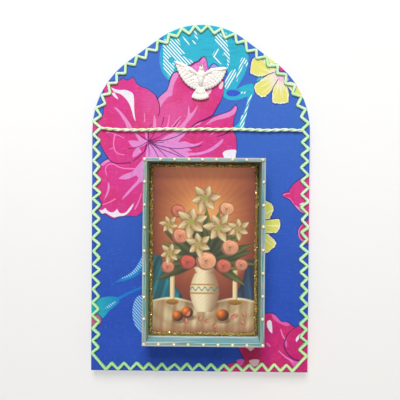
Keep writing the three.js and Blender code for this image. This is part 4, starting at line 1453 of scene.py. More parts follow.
@dataclass(frozen=True)
class BrushedPaint(Finish):
    """Teal craft paint brushed along a wall, with streaks of lilac grey and straw.

    Attributes:
        along: scales that draw the brush marks out along the wall.
        inner: tone of the wall's inner side, painted light: a lit or shaded copy of the teal for each wall.
        axis, rim: coordinate that runs across the wall, and its value at the outer side.
        outward: sign of that coordinate's way out of the box.
        foot_highlight_and_streaks: strength of the painted highlight line where the inner side meets the
            card, and of pale streaks by it.
        lip: strength of the painted light that pales the inner side towards its front edge.
    """

    along: Triple
    inner: Triple
    axis: int = 2
    rim: float = 0.0
    outward: float = 1.0
    foot_highlight_and_streaks: float = 0.0
    lip: float = 0.0

    def paint(self, tree: Tree) -> None:
        """Front edge in streaked teal, and the inner side told from it by depth and inset, with painted light
        and shade on the inner side.
        """
        place = tree.place()
        coordinates = tree.split(place)
        y = coordinates[1]
        inset = (coordinates[self.axis] - self.rim) * self.outward
        bristle = tree.drawn_noise(place, self.along, 4.0)
        stroke = tree.noise(tree.spread(place, tuple(0.45 * scale for scale in self.along)), 1.0, 2.0, 0.4)
        patch, grime = tree.noise(place, 0.06, 2.0), tree.noise(place, 0.5, 3.0)
        teal = (
            Coat(tree, (52, 142, 146))
            .over(stroke.ramp(0.38, 0.66), (118, 166, 152))
            .over(patch.ramp(0.42, 0.58) * bristle.ramp(0.38, 0.54) * 0.85, (164, 160, 162))
            .over(patch.ramp(0.52, 0.38) * bristle.ramp(0.46, 0.60) * 0.8, (176, 168, 124))
            .over(inset.ramp(-1.5, -0.5) * stroke.ramp(0.30, 0.50) * 0.65, (196, 204, 204))
            .over(inset.ramp(-2.3, -2.9) * bristle.ramp(0.40, 0.55) * 0.5, (206, 224, 214))
        )
        # the inner side's tone is painted light: each wall has its own lit or shaded copy of the teal
        lining = (
            Coat(tree, self.inner)
            .over(bristle.ramp(0.42, 0.62) * 0.35, tree.shade(teal, 0.9))
            # painted light: the inner side paler towards the box's front edge
            .over(y.ramp(BOX_FRONT + 8.0, BOX_FRONT + 1.0) * self.lip, (176, 204, 176))
            # pale brush streaks near the card, at the same strength as the painted highlight line
            .over(stroke.ramp(0.50, 0.62) * self.foot_highlight_and_streaks, (196, 228, 232))
        )
        deep = y.ramp(BOX_FRONT + 0.4, BOX_FRONT + 1.6) * inset.ramp(-1.0, -2.2)
        teal.over(deep * 0.9, lining)
        # painted highlight: a near-white line on the inner side just in front of the card
        teal.over(y.ramp(CARD_FRONT - 5.3, CARD_FRONT - 3.9) * self.foot_highlight_and_streaks, (250, 252, 248))
        tree.finish(
            Base_Color=tree.shade(teal, 0.9 + grime * 0.18), Roughness=0.42 + 0.15 * bristle,
            Normal=tree.bump(bristle * 0.8 + grime * 0.2, 0.12, 0.8),
        )


@dataclass(frozen=True)
class GoldRelief(Finish):
    """Pearly gold relief paint."""

    name: str = "gold_relief"

    def paint(self, tree: Tree) -> None:
        """Pale and deep gold by a fine grain."""
        grain = tree.noise(tree.place(), 3.0, 2.0)
        tree.finish(
            Base_Color=Coat(tree, (226, 200, 150)).over(grain.ramp(0.35, 0.7), (248, 236, 206)),
            Metallic=0.3, Roughness=0.26 + 0.12 * grain, Coat_Weight=0.3, Normal=tree.bump(grain, 0.08, 0.5),
        )


@dataclass(frozen=True)
class GlitterBase(Finish):
    """Dried glue that holds the glitter: olive gold, lumpy and glossy."""

    name: str = "glitter_base"

    def paint(self, tree: Tree) -> None:
        """Cells for the sunken glitter, a few of them bright."""
        place = tree.place()
        distance, tint = tree.cells(place, 2.1)
        shine, _, _ = tree.split(tint)
        olive = (
            Coat(tree, (98, 76, 34))
            .over(tree.noise(place, 1.2, 3.0).ramp(0.35, 0.65), (140, 112, 56))
            .over(shine.ramp(0.6, 0.95), (214, 180, 84))
        )
        tree.finish(
            Base_Color=olive, Metallic=0.3, Roughness=0.2 + 0.5 * shine,
            Normal=tree.bump(distance, 0.25, 1.0),
        )


@dataclass(frozen=True)
class GlitterFlake(Finish):
    """Loose metal flakes, each of its own tone."""

    name: str = "glitter_flake"

    def paint(self, tree: Tree) -> None:
        """The flake's tone under a faint grain."""
        grain = tree.noise(tree.place(), 2.0, 1.0)
        tree.finish(
            Base_Color=tree.shade(tree.vector("tone"), 0.85 + 0.3 * grain), Metallic=0.75,
            Roughness=0.24 + 0.1 * grain,
        )


@dataclass(frozen=True)
class PrintedCard(Finish):
    """Glossy printed card. Its picture is a colour kept per vertex."""

    name: str = "printed_card"

    def paint(self, tree: Tree) -> None:
        """The picture under a fine grain, on a faintly waved gloss."""
        place = tree.place()
        grain = tree.noise(place, 2.5, 2.0)
        tree.finish(
            Base_Color=tree.shade(tree.vector("picture"), 0.96 + grain * 0.08),
            Roughness=0.34 + 0.06 * grain, Coat_Weight=0.25, Coat_Roughness=0.12,
            Normal=tree.bump(grain * 0.1 + tree.noise(place, 0.03, 1.0), 0.2, 0.25),
        )


class StillLife:
    """Paints a generic devotional still life: lilies and roses in a vase on a draped altar.

    Places and sizes are millimetres from the picture's middle, tones are sRGB from 0 to 1.
    """

    cream, umber = (0.92, 0.85, 0.66), (0.62, 0.50, 0.32)
    roses = (
        (-19, 11, 6.6, (0.90, 0.58, 0.44)), (21, 2, 7.0, (0.90, 0.62, 0.48)),
        (2, -9, 8.0, (0.93, 0.66, 0.50)),
        (-13, -10, 6.4, (0.80, 0.36, 0.30)), (16, -13, 6.2, (0.82, 0.42, 0.34)),
        (18, 33, 6.0, (0.92, 0.66, 0.48)), (-21, 31, 5.6, (0.84, 0.46, 0.36)),
        (-29, -14, 5.4, (0.88, 0.54, 0.42)), (30, -12, 5.4, (0.88, 0.56, 0.44)),
    )
    lilies = (
        (-10, 22, 13.5, 0.3), (12, 18, 13.0, 0.9), (1, 41, 12.5, 0.1), (-4, 4, 11.0, 0.6),
        (-27, -3, 9.0, 0.2),
        (28, 17, 9.5, 0.5), (-28, 20, 8.0, 0.8),
    )
    oranges = ((-13.0, -50.5, 5.2), (-20.5, -53.5, 4.8), (15.5, -52.5, 5.4))
    candle_places = (-25.0, 25.5)

    def __init__(self, x: np.ndarray, z: np.ndarray, seed: int = 7) -> None:
        """Starts a picture that has a colour at each of the places x, z."""
        self.x, self.z = x, z
        self.random = np.random.default_rng(seed)
        self.colour = np.zeros((len(x), 3))

    def lay(self, mask: np.ndarray, tone: Triple | np.ndarray) -> None:
        """Lays a tone, or one for each place, over the picture: colour + (tone - colour) * mask."""
        self.colour += (np.atleast_2d(tone) - self.colour) * np.clip(mask, 0, 1)[:, None]

    @staticmethod
    def blend(dark: Triple | np.ndarray, light: Triple | np.ndarray, share: np.ndarray) -> np.ndarray:
        """Tones from dark where the share is 0 to light where it is 1."""
        return np.asarray(dark) * (1 - share[:, None]) + np.asarray(light) * share[:, None]

    def away(self, x: float, z: float, wide: float = 1.0, high: float = 1.0) -> np.ndarray:
        """Distance of each place from a point, in units that are wide across and high upwards."""
        return np.hypot((self.x - x) / wide, (self.z - z) / high)

    def dab(
        self, x: float, z: float, outer: float, inner: float, tone: Triple | np.ndarray,
        strength: float = 1.0, wide: float = 1.0, high: float = 1.0,
    ) -> None:
        """Soft oval dab of paint.

        Args:
            x, z: its middle.
            outer, inner: distances from there at which it is gone and full.
            tone: its tone.
            strength: how much it covers.
            wide, high: units of that distance, as away takes them.
        """
        self.lay(smoothstep(outer, inner, self.away(x, z, wide, high)) * strength, tone)

    def local(self, x: float, z: float, angle: float) -> tuple[np.ndarray, np.ndarray]:
        """Coordinates along and across a direction from a point."""
        dx, dz = self.x - x, self.z - z
        return dx * math.cos(angle) + dz * math.sin(angle), dz * math.cos(angle) - dx * math.sin(angle)

    def petal(
        self, x: float, z: float, angle: float, length: float, width: float,
        light: Triple | np.ndarray, dark: Triple | np.ndarray, bend: float = 0.0,
    ) -> None:
        """Petal or leaf, light along the middle and dark at its edges and root.

        Args:
            x, z: its root.
            angle: its direction.
            length, width: its size.
            light, dark: its tones.
            bend: how far its tip lies to the left.
        """
        along, across = self.local(x, z, angle)
        t = along / length
        across = across - bend * np.clip(t, 0, 1) ** 2
        half = width / 2 * np.sin(np.pi * np.clip(t, 0, 1) ** 0.8) ** 0.8
        ratio = np.abs(across) / np.maximum(half, 0.05)
        inside = smoothstep(1.15, 0.85, ratio) * (t > 0) * (t < 1)
        fade = np.clip(0.25 + 0.9 * t - 0.45 * ratio**2 - 0.25 * (across > 0), 0, 1)
        self.lay(smoothstep(1.5, 1.0, ratio) * (t > -0.03) * (t < 1.06) * 0.5, np.asarray(dark) * 0.6)
        self.lay(inside, self.blend(dark, light, fade))

    def lily(self, x: float, z: float, size: float, turn: float) -> None:
        """Open lily of six petals round a green and gold throat.

        Args:
            x, z: its middle.
            size: length of a petal.
            turn: angle that it is turned by.
        """
        for k in range(6):
            reach = size * (1.0 if k % 2 == 0 else 0.86)
            angle = turn + k * math.pi / 3
            self.petal(x, z, angle, reach, size * 0.52, self.cream, self.umber, size * 0.08)
        self.dab(x, z, size * 0.26, size * 0.1, (0.62, 0.62, 0.28), 0.9)
        for k in range(5):
            angle = turn + 0.4 + k * 1.26
            across, up = 0.3 * size * math.cos(angle), 0.3 * size * math.sin(angle)
            self.dab(x + across, z + up, 0.9, 0.4, (0.72, 0.38, 0.12))

    def rose(self, x: float, z: float, size: float, tint: Triple) -> None:
        """Rose of overlapping crescents that wind in to its heart.

        Args:
            x, z: its middle.
            size: half its width.
            tint: its colour.
        """
        tint = np.asarray(tint)
        self.dab(x, z, size * 1.08, size * 0.95, tint * 0.62, high=1 / 1.08)
        for k in range(9):
            share, angle = 1 - k / 10, k * 2.2
            heart_x = x + math.cos(angle) * size * 0.22 * share
            heart_z = z + math.sin(angle) * size * 0.22 * share
            gap, radius = self.away(heart_x, heart_z), size * 0.8 * share
            shade = np.clip(0.6 + 0.5 * (gap / radius) + 0.12 * (self.z - heart_z) / radius, 0, 1.12)
            self.lay(smoothstep(radius, radius - 0.9, gap), tint * shade[:, None])
        self.dab(x, z, size * 0.2, 0.0, tint * 0.5, 0.8, high=1 / 1.08)

    def folds(
        self, mask: np.ndarray, angle: float, width: float, light: Triple, dark: Triple, shift: float
    ) -> None:
        """Soft folds of cloth: two sines across an angle.

        Args:
            mask: where the cloth is.
            angle: the way that the folds run.
            width: from fold to fold.
            light, dark: colours of crest and hollow.
            shift: phase of the sines.
        """
        along, across = self.local(0, 0, angle)
        phase = across / width * 2 * np.pi + shift + 0.8 * np.sin(along / (2.0 * width) + shift)
        wave = 0.5 + 0.34 * np.sin(phase) + 0.16 * np.sin(2.3 * phase + 1.1 + 0.05 * along)
        wave = wave * (0.85 + 0.15 * np.sin(along / 5.0 + phase * 0.5))
        self.lay(mask, self.blend(dark, light, wave))

    def backdrop(self) -> None:
        """Warm glow with fine rays, darker to the corners."""
        x, z = self.x, self.z
        radius = self.away(0, 24, 0.95, 1.25)
        self.colour = self.blend((0.45, 0.17, 0.12), (0.87, 0.57, 0.31), smoothstep(62, 0, radius))
        turn = np.arctan2(z - 24, x)
        rays = 0.5 + 0.5 * np.cos(turn * 40 + 0.7 * np.sin(turn * 7))
        self.lay(rays * smoothstep(56, 10, radius) * smoothstep(6, 16, radius) * 0.10, (1.0, 0.80, 0.52))
        self.lay(smoothstep(24, 0, radius) * 0.5, (0.93, 0.70, 0.44))
        cloud = np.sin(x / 9 + 1.2 * np.sin(z / 13)) * np.sin(z / 11 + 0.8 * np.sin(x / 7))
        self.lay(smoothstep(0.2, 0.9, cloud) * 0.18, (0.62, 0.24, 0.18))
        self.lay(smoothstep(44, 66, z) * 0.5, (0.80, 0.50, 0.38))

    def hanging(
        self, inward: np.ndarray, reach: np.ndarray, top: float, sag: float, slant: float, width: float,
        tones: tuple[Triple, Triple, Triple], shift: float,
    ) -> None:
        """Folded hanging at one side of the picture.

        Args:
            inward: distance of each place from that side.
            reach: how far in the hanging comes at each place's height.
            top, sag: height at which it starts at the side, and how steeply it falls from there.
            slant, width, shift: angle, width and phase of its folds.
            tones: its light tone, its dark tone, and the tone of its edge.
        """
        light, dark, edge = tones
        within = reach - inward
        mask = smoothstep(-0.6, 0.6, within) * smoothstep(top, top - 3, self.z + sag * inward**1.2)
        self.folds(mask, slant, width, light, dark, shift)
        self.lay(mask * smoothstep(3.4, 0.6, within) * 0.5, edge)

    def drapes(self) -> None:
        """Teal hangings at both sides."""
        x, z = self.x, self.z
        teal = (0.12, 0.55, 0.58), (0.03, 0.24, 0.30), (0.02, 0.14, 0.18)
        reach = 12 + 20 * smoothstep(-4, -60, z) + 2.0 * np.sin(z / 8)
        self.hanging(x + 44, reach, -1.5, 0.18, 1.30, 9.0, teal, 0.6)
        blue = (0.16, 0.36, 0.52), (0.08, 0.13, 0.22), (0.05, 0.07, 0.12)
        reach = 9 + 16 * smoothstep(-2, -62, z) + 1.6 * np.sin(z / 7 + 2)
        self.hanging(44 - x, reach, -5, 0.16, 1.78, 9.5, blue, 1.9)

    def altar(self) -> None:
        """Cream cloth on the altar, with swags and a bright edge."""
        x, z = self.x, self.z
        top = -40.5 - 2.2 * np.cos(x / 8.5)
        altar = smoothstep(0.4, -0.6, z - top)
        self.folds(altar, 1.5, 11.0, (0.90, 0.83, 0.66), (0.66, 0.52, 0.36), 0.4)
        swag = np.abs(np.sin((self.away(0, -22, wide=1.25) - 22) / 3.4))
        self.lay(altar * (1 - swag) * 0.38, (0.55, 0.40, 0.26))
        self.lay(altar * smoothstep(-56, -69, z) * 0.55, (0.66, 0.36, 0.26))
        self.lay(smoothstep(1.2, 0.3, np.abs(z - top + 0.9)) * 0.9, (0.94, 0.88, 0.72))
        self.dab(2, -43, 18, 3, (0.34, 0.20, 0.12), 0.5, 1.6, 0.45)

    def candles(self) -> None:
        """Lit candles in small brass dishes."""
        x, z = self.x, self.z
        brass = np.array([0.60, 0.42, 0.16]) + (z + 42)[:, None] * [0.05, 0.04, 0.0]
        for stick in self.candle_places:
            wax = smoothstep(2.1, 1.7, np.abs(x - stick)) * (z < -16) * (z > -41)
            self.lay(wax, (0.92, 0.84, 0.64))
            self.lay(smoothstep(0.0, 1.8, x - stick) * wax * 0.6, (0.56, 0.40, 0.22))
            self.dab(stick, -12, 10, 0, (1.0, 0.78, 0.42), 0.45, high=1.2)
            self.dab(stick, -12.4, 1.1, 0.6, (1.0, 0.93, 0.70), high=2.6)
            self.dab(stick, -42.2, 1.08, 0.95, brass, wide=5.2, high=2.2)

    def vase(self) -> None:
        """Pale glazed vase with two gold lines and a wave between them."""
        x, z = self.x, self.z
        level = (z + 50) / 36
        half = 9.5 * np.sin(np.pi * np.clip(level * 0.82 + 0.12, 0, 1)) ** 0.8 + 2.0
        half = np.where(level > 0.86, 6.6 + (level - 0.86) * 14, half)
        ratio = (x - 1.0) / half
        body = smoothstep(1.05, 0.97, np.abs(ratio)) * (level > 0) * (level < 1)
        sheen = np.clip(0.55 + 0.5 * np.cos((ratio + 0.35) * 1.9), 0, 1)
        self.lay(body, self.blend((0.50, 0.36, 0.26), (0.93, 0.86, 0.70), sheen))
        for line in (-35.0, -28.0):
            self.lay(body * smoothstep(0.75, 0.45, np.abs(z - line)) * 0.8, (0.66, 0.46, 0.14))
        waves = np.abs(z + 31.5 - 1.3 * np.sin(x * 1.25))
        self.lay(body * smoothstep(0.8, 0.4, waves) * 0.7, (0.10, 0.42, 0.46))

    def fruit(self) -> None:
        """Oranges, each over its shadow, and petals fallen on the cloth."""
        for x, z, size in self.oranges:
            self.dab(x + 1, z - size * 0.8, size * 1.5, size * 0.7, (0.32, 0.18, 0.10), 0.5, high=1 / 2.4)
            light = 1.05 - 0.75 * self.away(x - size * 0.35, z + size * 0.35) / size
            peel = np.array([0.94, 0.52, 0.18]) * np.clip(light, 0.1, 1)[:, None] + [0.10, 0.02, 0.0]
            self.dab(x, z, size, size - 0.7, peel, high=1 / 1.06)
        for _ in range(9):
            angle = self.random.uniform(0, math.pi)
            x, z = self.random.uniform(-34, 34), self.random.uniform(-63, -52)
            self.petal(x, z, angle, 4.6, 3.0, (0.92, 0.64, 0.52), (0.72, 0.36, 0.28), 0.8)

    def bouquet(self) -> None:
        """Leaves, then roses, then lilies over them."""
        for k in range(30):
            angle = math.radians(-22 + 224 * (k / 29)) + self.random.normal(0, 0.1)
            length = 20 + 18 * self.random.random()
            shade = self.random.uniform(0.75, 1.1)
            self.petal(
                1 + 6 * math.cos(angle), -9 + 6 * math.sin(angle), angle, length, 6.0,
                np.array([0.46, 0.48, 0.22]) * shade, np.array([0.16, 0.20, 0.10]) * shade,
                self.random.normal(0, 2.5),
            )
        for rose in self.roses:
            self.rose(*rose)
        for lily in self.lilies:
            self.lily(*lily)

    def vignette_lit_top_and_strokes(self) -> None:
        """Darker sides, a painted lighter top that offsets the shadow of the box's top wall, and faint
        crossed strokes over the whole.
        """
        x, z = self.x, self.z
        self.lay(smoothstep(32, 44, np.abs(x)) * 0.2 + smoothstep(-60, -70, z) * 0.2, (0.36, 0.14, 0.09))
        # painted light: the top is lightened to offset the shadow of the box's top wall
        self.colour *= (1 + 0.42 * smoothstep(42, 64, z))[:, None]
        stroke = np.sin(x * 1.9 + 2.1 * np.sin(z * 0.31)) * np.sin(z * 2.3 + 1.7 * np.sin(x * 0.27))
        self.colour *= (1 + 0.03 * stroke)[:, None]

    def paint(self) -> np.ndarray:
        """Paints the picture.

        Returns:
            sRGB colours from 0 to 1, one for each place.
        """
        self.backdrop()
        self.drapes()
        self.altar()
        self.candles()
        self.vase()
        self.fruit()
        self.bouquet()
        self.vignette_lit_top_and_strokes()
        return np.clip(self.colour, 0, 1)


@dataclass(frozen=True)
class PictureCard:
    """The card on the box's floor.

    Attributes:
        cell: distance between the points that carry its picture.
        corner: radius of its corners.
        paper: grey of its sides and back, as linear light.
    """

    cell: float = 0.46
    corner: float = 2.5
    paper: float = 0.72

    def rounded(self, places: np.ndarray, half: np.ndarray) -> np.ndarray:
        """Places of a rectangle with its corners drawn in.

        Args:
            places: the places, from the rectangle's middle.
            half: half its width and height.

        Returns:
            The places, those beyond both edges of a corner's square no farther than its radius.
        """
        edge = half - self.corner
        over = np.maximum(np.abs(places) - edge, 0)
        reach = np.maximum(np.hypot(*over.T), 1e-9)
        pull = np.where(over.min(1) > 0, np.minimum(1.0, self.corner / reach), 1.0)
        return np.sign(places) * (np.minimum(np.abs(places), edge) + over * pull[:, None])

    def build(self) -> bpy.types.Object:
        """Makes the card: the picture on a fine grid, plain sides, and a fan for its back.

        Returns:
            The piece.
        """
        size, thickness = np.ptp(CARD, axis=0)[[0, 2]], CARD[1, 1] - CARD[0, 1]
        columns, rows = (round(side / self.cell) for side in size)
        u, v = (np.linspace(-side / 2, side / 2, count) for side, count in zip(size, (columns, rows)))
        x, z = (part.ravel() for part in np.meshgrid(u, v))
        picture = linear(StillLife(x, z).paint())
        places = self.rounded(np.stack([x, z], -1), size / 2) + BOX_CENTRE
        front = stand(places[:, 0], CARD_FRONT, places[:, 1])
        number = np.arange(len(front)).reshape(rows, columns)
        rim = np.concatenate([number[0, :-1], number[:-1, -1], number[-1, :0:-1], number[:0:-1, 0]])
        behind = len(front) + np.arange(len(rim))
        following, after = np.roll(rim, -1), np.roll(behind, -1)
        middle = stand(BOX_CENTRE[0], CARD_FRONT, BOX_CENTRE[1])
        back = np.vstack([front[rim], middle]) + [0.0, thickness, 0.0]
        sides = np.stack([following, rim, behind, after], -1)
        fan = np.stack([after, behind, np.full(len(rim), len(front) + len(rim))], -1)
        colours = np.vstack([picture, np.full((len(back), 3), self.paper)])
        values = {"picture": np.hstack([colours, np.ones((len(colours), 1))])}
        return add_piece(
            "card", np.vstack([front, back]), [grid_faces(rows, columns), sides, fan],
            PrintedCard().material(), ["picture_card"], values,
        )


@dataclass(frozen=True)
class GlitterBead:
    """Bead of dried glue round the card, with flakes of glitter on it.

    Attributes:
        width, height, gap: its size, and how far it stays off the walls in all.
        corner: radius of its middle line at the corners.
        steps, points_over: sections of the bead, and points over one.
        lump, lump_limits: spread and limits of the bead's lumps.
        side_room, top_room: how far the smooth bead stays inside its size, for lumps and flakes.
        drift: how far it strays to its sides.
        flakes: number of flakes.
        seats, flake_lift: places over a section where they sit, and their distance, as a share.
        flake_tilt, flake_size, flake_depth: spread of their tilts, radii, and thickness.
        bright, bright_size: number of the first bright tone, and how much larger such flakes are.
        glitter, glitter_share: tones of the flakes, and the share of each.
    """

    width: float = 3.2
    height: float = 1.8
    gap: float = 0.6
    corner: float = 2.6
    steps: int = 900
    points_over: int = 9
    lump: float = 0.10
    lump_limits: tuple[float, float] = (0.8, 1.15)
    side_room: float = 0.25
    top_room: float = 0.35
    drift: float = 0.6
    flakes: int = 6200
    seats: int = 31
    flake_lift: float = 1.06
    flake_tilt: float = 0.55
    flake_size: tuple[float, float] = (0.13, 0.28)
    flake_depth: float = 0.1
    bright: int = 4
    bright_size: float = 1.6
    glitter: tuple[Triple, ...] = (
        (116, 88, 38), (176, 136, 58), (84, 100, 48), (222, 186, 96), (250, 226, 140), (255, 250, 232),
    )
    glitter_share: tuple[float, ...] = (0.36, 0.26, 0.14, 0.13, 0.08, 0.03)

    def _loop(self) -> tuple[np.ndarray, np.ndarray]:
        """Middle line of the bead.

        Returns:
            A rounded rectangle, and the direction that faces out of it.
        """
        half = (BOX_SIZE - 2 * BOX_WALL - self.gap - self.width) / 2 - self.corner
        turn = full_turn(48) + np.pi / 48
        spoke = np.stack([np.cos(turn), np.sin(turn)], -1)
        rough = np.sign(spoke) * half + self.corner * spoke
        closed = np.vstack([rough, rough[:1]])
        spot = at_lengths(closed, np.linspace(0, way_along(closed)[-1], self.steps, endpoint=False))
        return spot, -left_of(unit(np.roll(spot, -1, 0) - np.roll(spot, 1, 0)))

    def _surface(self, angle: np.ndarray, swell: np.ndarray) -> np.ndarray:
        """Places on the bead.

        Args:
            angle: angles over a section, from 0 on its outer side to pi on its inner one.
            swell: how far out the place lies for each section and angle, as a share.

        Returns:
            Points of half an ellipse, swell * (cos, sin), at each step of the loop.
        """
        spot, outward = self._loop()
        way = full_turn(self.steps)
        drift = 0.22 * np.sin(way * 23) + 0.16 * np.sin(way * 57 + 1.0)
        across = (self.width / 2 - self.side_room) * swell * np.cos(angle) + drift[:, None] * self.drift
        raised = (self.height - self.top_room) * swell * np.sin(angle)
        places = spot[:, None] + outward[:, None] * across[..., None] + BOX_CENTRE
        return stand(places[..., 0], CARD_FRONT - raised, places[..., 1])

    def glue(self, random: np.random.Generator) -> bpy.types.Object:
        """Makes the bead itself, its lumps smoothed over three sections.

        Args:
            random: source of the lumps.

        Returns:
            The piece.
        """
        lumps = random.normal(0, 1, (self.steps, self.points_over))
        lumps = (lumps + np.roll(lumps, 1, 0) + np.roll(lumps, -1, 0)) / 3
        angle = np.linspace(0, np.pi, self.points_over)
        rings = self._surface(angle, np.clip(1 + self.lump * lumps, *self.lump_limits))
        rings[:, [0, -1], 1] = CARD_FRONT
        points, faces = loft(rings, True)
        return add_piece(
            "glitter_bead_glue", points, faces, GlitterBase().material(), ["glitter_bead"],
        )

    def chips(self, random: np.random.Generator) -> bpy.types.Object:
        """Makes the flakes: five corners round each seat, and a point sunk in the glue.

        Args:
            random: source of their places and sizes.

        Returns:
            The piece.
        """
        count = self.flakes
        step = random.integers(0, self.steps, count)
        lean = np.arccos(random.uniform(-0.98, 0.98, count)) / np.pi * self.seats
        seats = np.linspace(0.12, np.pi - 0.12, self.seats)
        grid = self._surface(seats, np.full((self.steps, self.seats), self.flake_lift))
        seat = grid[step, np.clip(lean.astype(int), 0, self.seats - 1)]
        tilt = unit(random.normal(0, 1, (count, 3)) * self.flake_tilt + [0, -1, 0])
        first = unit(np.cross(tilt, random.normal(0, 1, (count, 3))))
        second = np.cross(tilt, first)
        shades = np.array([srgb(*tone) for tone in self.glitter])
        pick = random.choice(len(shades), count, p=self.glitter_share)
        size = random.uniform(*self.flake_size, count) * np.where(pick >= self.bright, self.bright_size, 1.0)
        turn = full_turn(5)[:, None]
        fan = (first[:, None] * np.cos(turn) + second[:, None] * np.sin(turn)) * size[:, None, None]
        point = (seat - tilt * self.flake_depth)[:, None]
        corners = np.concatenate([seat[:, None] + fan, point], 1).reshape(-1, 3)
        chip = np.array([[0, k, k + 1] for k in (1, 2, 3)] + [[(k + 1) % 5, k, 5] for k in range(5)])
        faces = (np.arange(count)[:, None] * 6 + chip[:, None]).reshape(-1, 3)
        return add_piece(
            "glitter_flakes", corners, [faces], GlitterFlake().material(), (),
            {"tone": np.repeat(shades[pick], 6, 0)}, False, False,
        )

    def build(self) -> list[bpy.types.Object]:
        """Makes the glue and the flakes."""
        random = np.random.default_rng(11)
        return [self.glue(random), self.chips(random)]


@dataclass(frozen=True)
class PaintDots:
    """Drops of relief paint on the box's front edges.

    Attributes:
        radius, height: greatest size of a drop.
        points_around, levels: points round a drop, and rings up it.
        sink: how far its foot reaches into the wall.
        top_drift, bottom_drift: how far the drops along the top and bottom stray to the right,
            corners included, from the left.
        left_drift, right_drift: how far those down the sides stray upwards, from the top.
    """

    radius: float = 1.3
    height: float = 1.2
    points_around: int = 20
    levels: int = 9
    sink: float = 0.15
    top_drift: tuple[float, ...] = (-0.2, 0.7, 0.0, -0.2, -1.4, -2.0, -1.1, -1.8, -0.9)
    bottom_drift: tuple[float, ...] = (0.1, 0.0, 0.6, 0.1, 0.4, 0.2, -0.1, -0.4, 0.3)
    left_drift: tuple[float, ...] = (0.6, 0.7, 0.9, 0.8, 1.0, 0.8, 1.8)
    right_drift: tuple[float, ...] = (0.8, 0.8, 2.0, 2.0, 2.0, 2.1, 2.4)

    def dot(self, node: str, x: float, z: float, seed: int, material: bpy.types.Material) -> bpy.types.Object:
        """One drop of relief paint, a little uneven.

        Args:
            node: end of the name of the CAD's drop.
            x, z: its middle.
            seed: seed of its unevenness.
            material: its finish.

        Returns:
            The drop: a circle that shrinks as cos^0.8 while it rises as sin^0.9, with a wobble
            of two and three waves round it, and a slump that grows with its height.
        """
        random = np.random.default_rng(seed)
        size = random.uniform(0.9, 1.0)
        oval, clover, slump = random.uniform(-0.06, 0.06, 3)
        turn = full_turn(self.points_around)
        rise = np.linspace(0, np.pi / 2, self.levels)[:, None]
        wobble = 1 + oval * np.cos(2 * turn + 1) + clover * np.sin(3 * turn)
        radius = self.radius * size * np.cos(rise) ** 0.8 * wobble
        height = self.height * size * np.sin(rise) ** 0.9
        drop = np.abs(slump * 2 * height)
        ring = stand(x + radius * np.cos(turn), BOX_FRONT - height, z + radius * np.sin(turn) - drop)
        rings = np.concatenate([ring[:1], ring[:-1]])
        rings[0, :, 1] = BOX_FRONT + self.sink
        points, faces = loft(rings)
        points[-1] = ring[-1].mean(0)
        return add_piece(f"dot_{node}", points, faces, material, [f"paint_dot_{node}"])

    def build(self) -> list[bpy.types.Object]:
        """Makes all the drops, spread evenly along the middle of each edge before they stray.

        Returns:
            The pieces.
        """
        material = GoldRelief().material()
        (x, z), (side, rise) = BOX_CENTRE, (BOX_SIZE - BOX_WALL) / 2
        made = []
        for i, (top, bottom) in enumerate(zip(self.top_drift, self.bottom_drift)):
            along = x + (2 * i / (len(self.top_drift) - 1) - 1) * side
            made.append(self.dot(f"top_{i + 1}", along + top, z + rise, 100 + i, material))
            made.append(self.dot(f"bottom_{i + 1}", along + bottom, z - rise, 200 + i, material))
        for i, (left, right) in enumerate(zip(self.left_drift[::-1], self.right_drift[::-1]), 1):
            up = z + (2 * i / (len(self.left_drift) + 1) - 1) * rise
            made.append(self.dot(f"left_{i}", x - side, up + left, 300 + i, material))
            made.append(self.dot(f"right_{i}", x + side, up + right, 400 + i, material))
        return made


@dataclass(frozen=True)
class PictureBox:
    """Painted box with its card, the bead of glitter round the card, and the paint dots.

    Attributes:
        lying, standing: scales that draw brush marks out along the walls that lie and stand.
    """

    card: PictureCard = PictureCard()
    bead: GlitterBead = GlitterBead()
    dots: PaintDots = PaintDots()
    lying: Triple = (0.045, 0.8, 1.15)
    standing: Triple = (1.15, 0.8, 0.045)

    def build(self) -> list[bpy.types.Object]:
        """Paints the box's own walls and makes all that is in and on it.

        Returns:
            The pieces made.
        """
        (left, _, bottom), (right, _, top) = BOX.tolist()
        lying, standing = self.lying, self.standing
        # each wall's inner tone is painted light, a lit or shaded copy of one teal; the top wall's dark brown
        # is painted shadow
        walls = {
            "box_top_wall": BrushedPaint("teal_top", lying, (62, 47, 29), 2, top),
            "box_bottom_wall": BrushedPaint("teal_bottom", lying, (84, 164, 186), 2, bottom, -1.0, 0.45),
            "box_left_wall": BrushedPaint("teal_left", standing, (136, 190, 146), 0, left, -1.0, lip=0.75),
            "box_right_wall": BrushedPaint("teal_right", standing, (116, 152, 128), 0, right, lip=0.35),
            "box_floor": BrushedPaint("teal_floor", standing, (66, 104, 84)),
        }
        for node, finish in walls.items():
            dress(node, finish.material())
        return [self.card.build(), *self.bead.build(), *self.dots.build()]


# Dove


@dataclass(frozen=True)
class IvoryResin(Finish):
    """Ivory moulding with painted shade, a beige tone, in its hollows, and gold on the beak."""

    name: str = "ivory_resin"

    def paint(self, tree: Tree) -> None:
        """Painted shade by the hollow attribute, and barbs as a sine of the barb attribute."""
        grain = tree.noise(tree.place(), 1.4, 3.0)
        gold = tree.number("gold")
        # painted shade: beige in the hollows between feathers and parts
        hollow_shade = Coat(tree, (206, 186, 166)).over(grain, (224, 208, 192))
        ivory = (
            Coat(tree, (253, 249, 244))
            .over(grain.ramp(0.3, 0.75), (250, 243, 236))
            .over(tree.number("hollow").ramp(0.3, 1.0) * 0.45, hollow_shade)
            .over(gold, (204, 146, 56))
        )
        ridge = (tree.number("barb") * 9.0).sine()
        tree.finish(
            Base_Color=ivory, Metallic=gold * 0.6, Roughness=0.38 + grain * 0.12,
            Normal=tree.bump(ridge * 0.35 + grain * 0.5, 0.12, 0.7),
        )


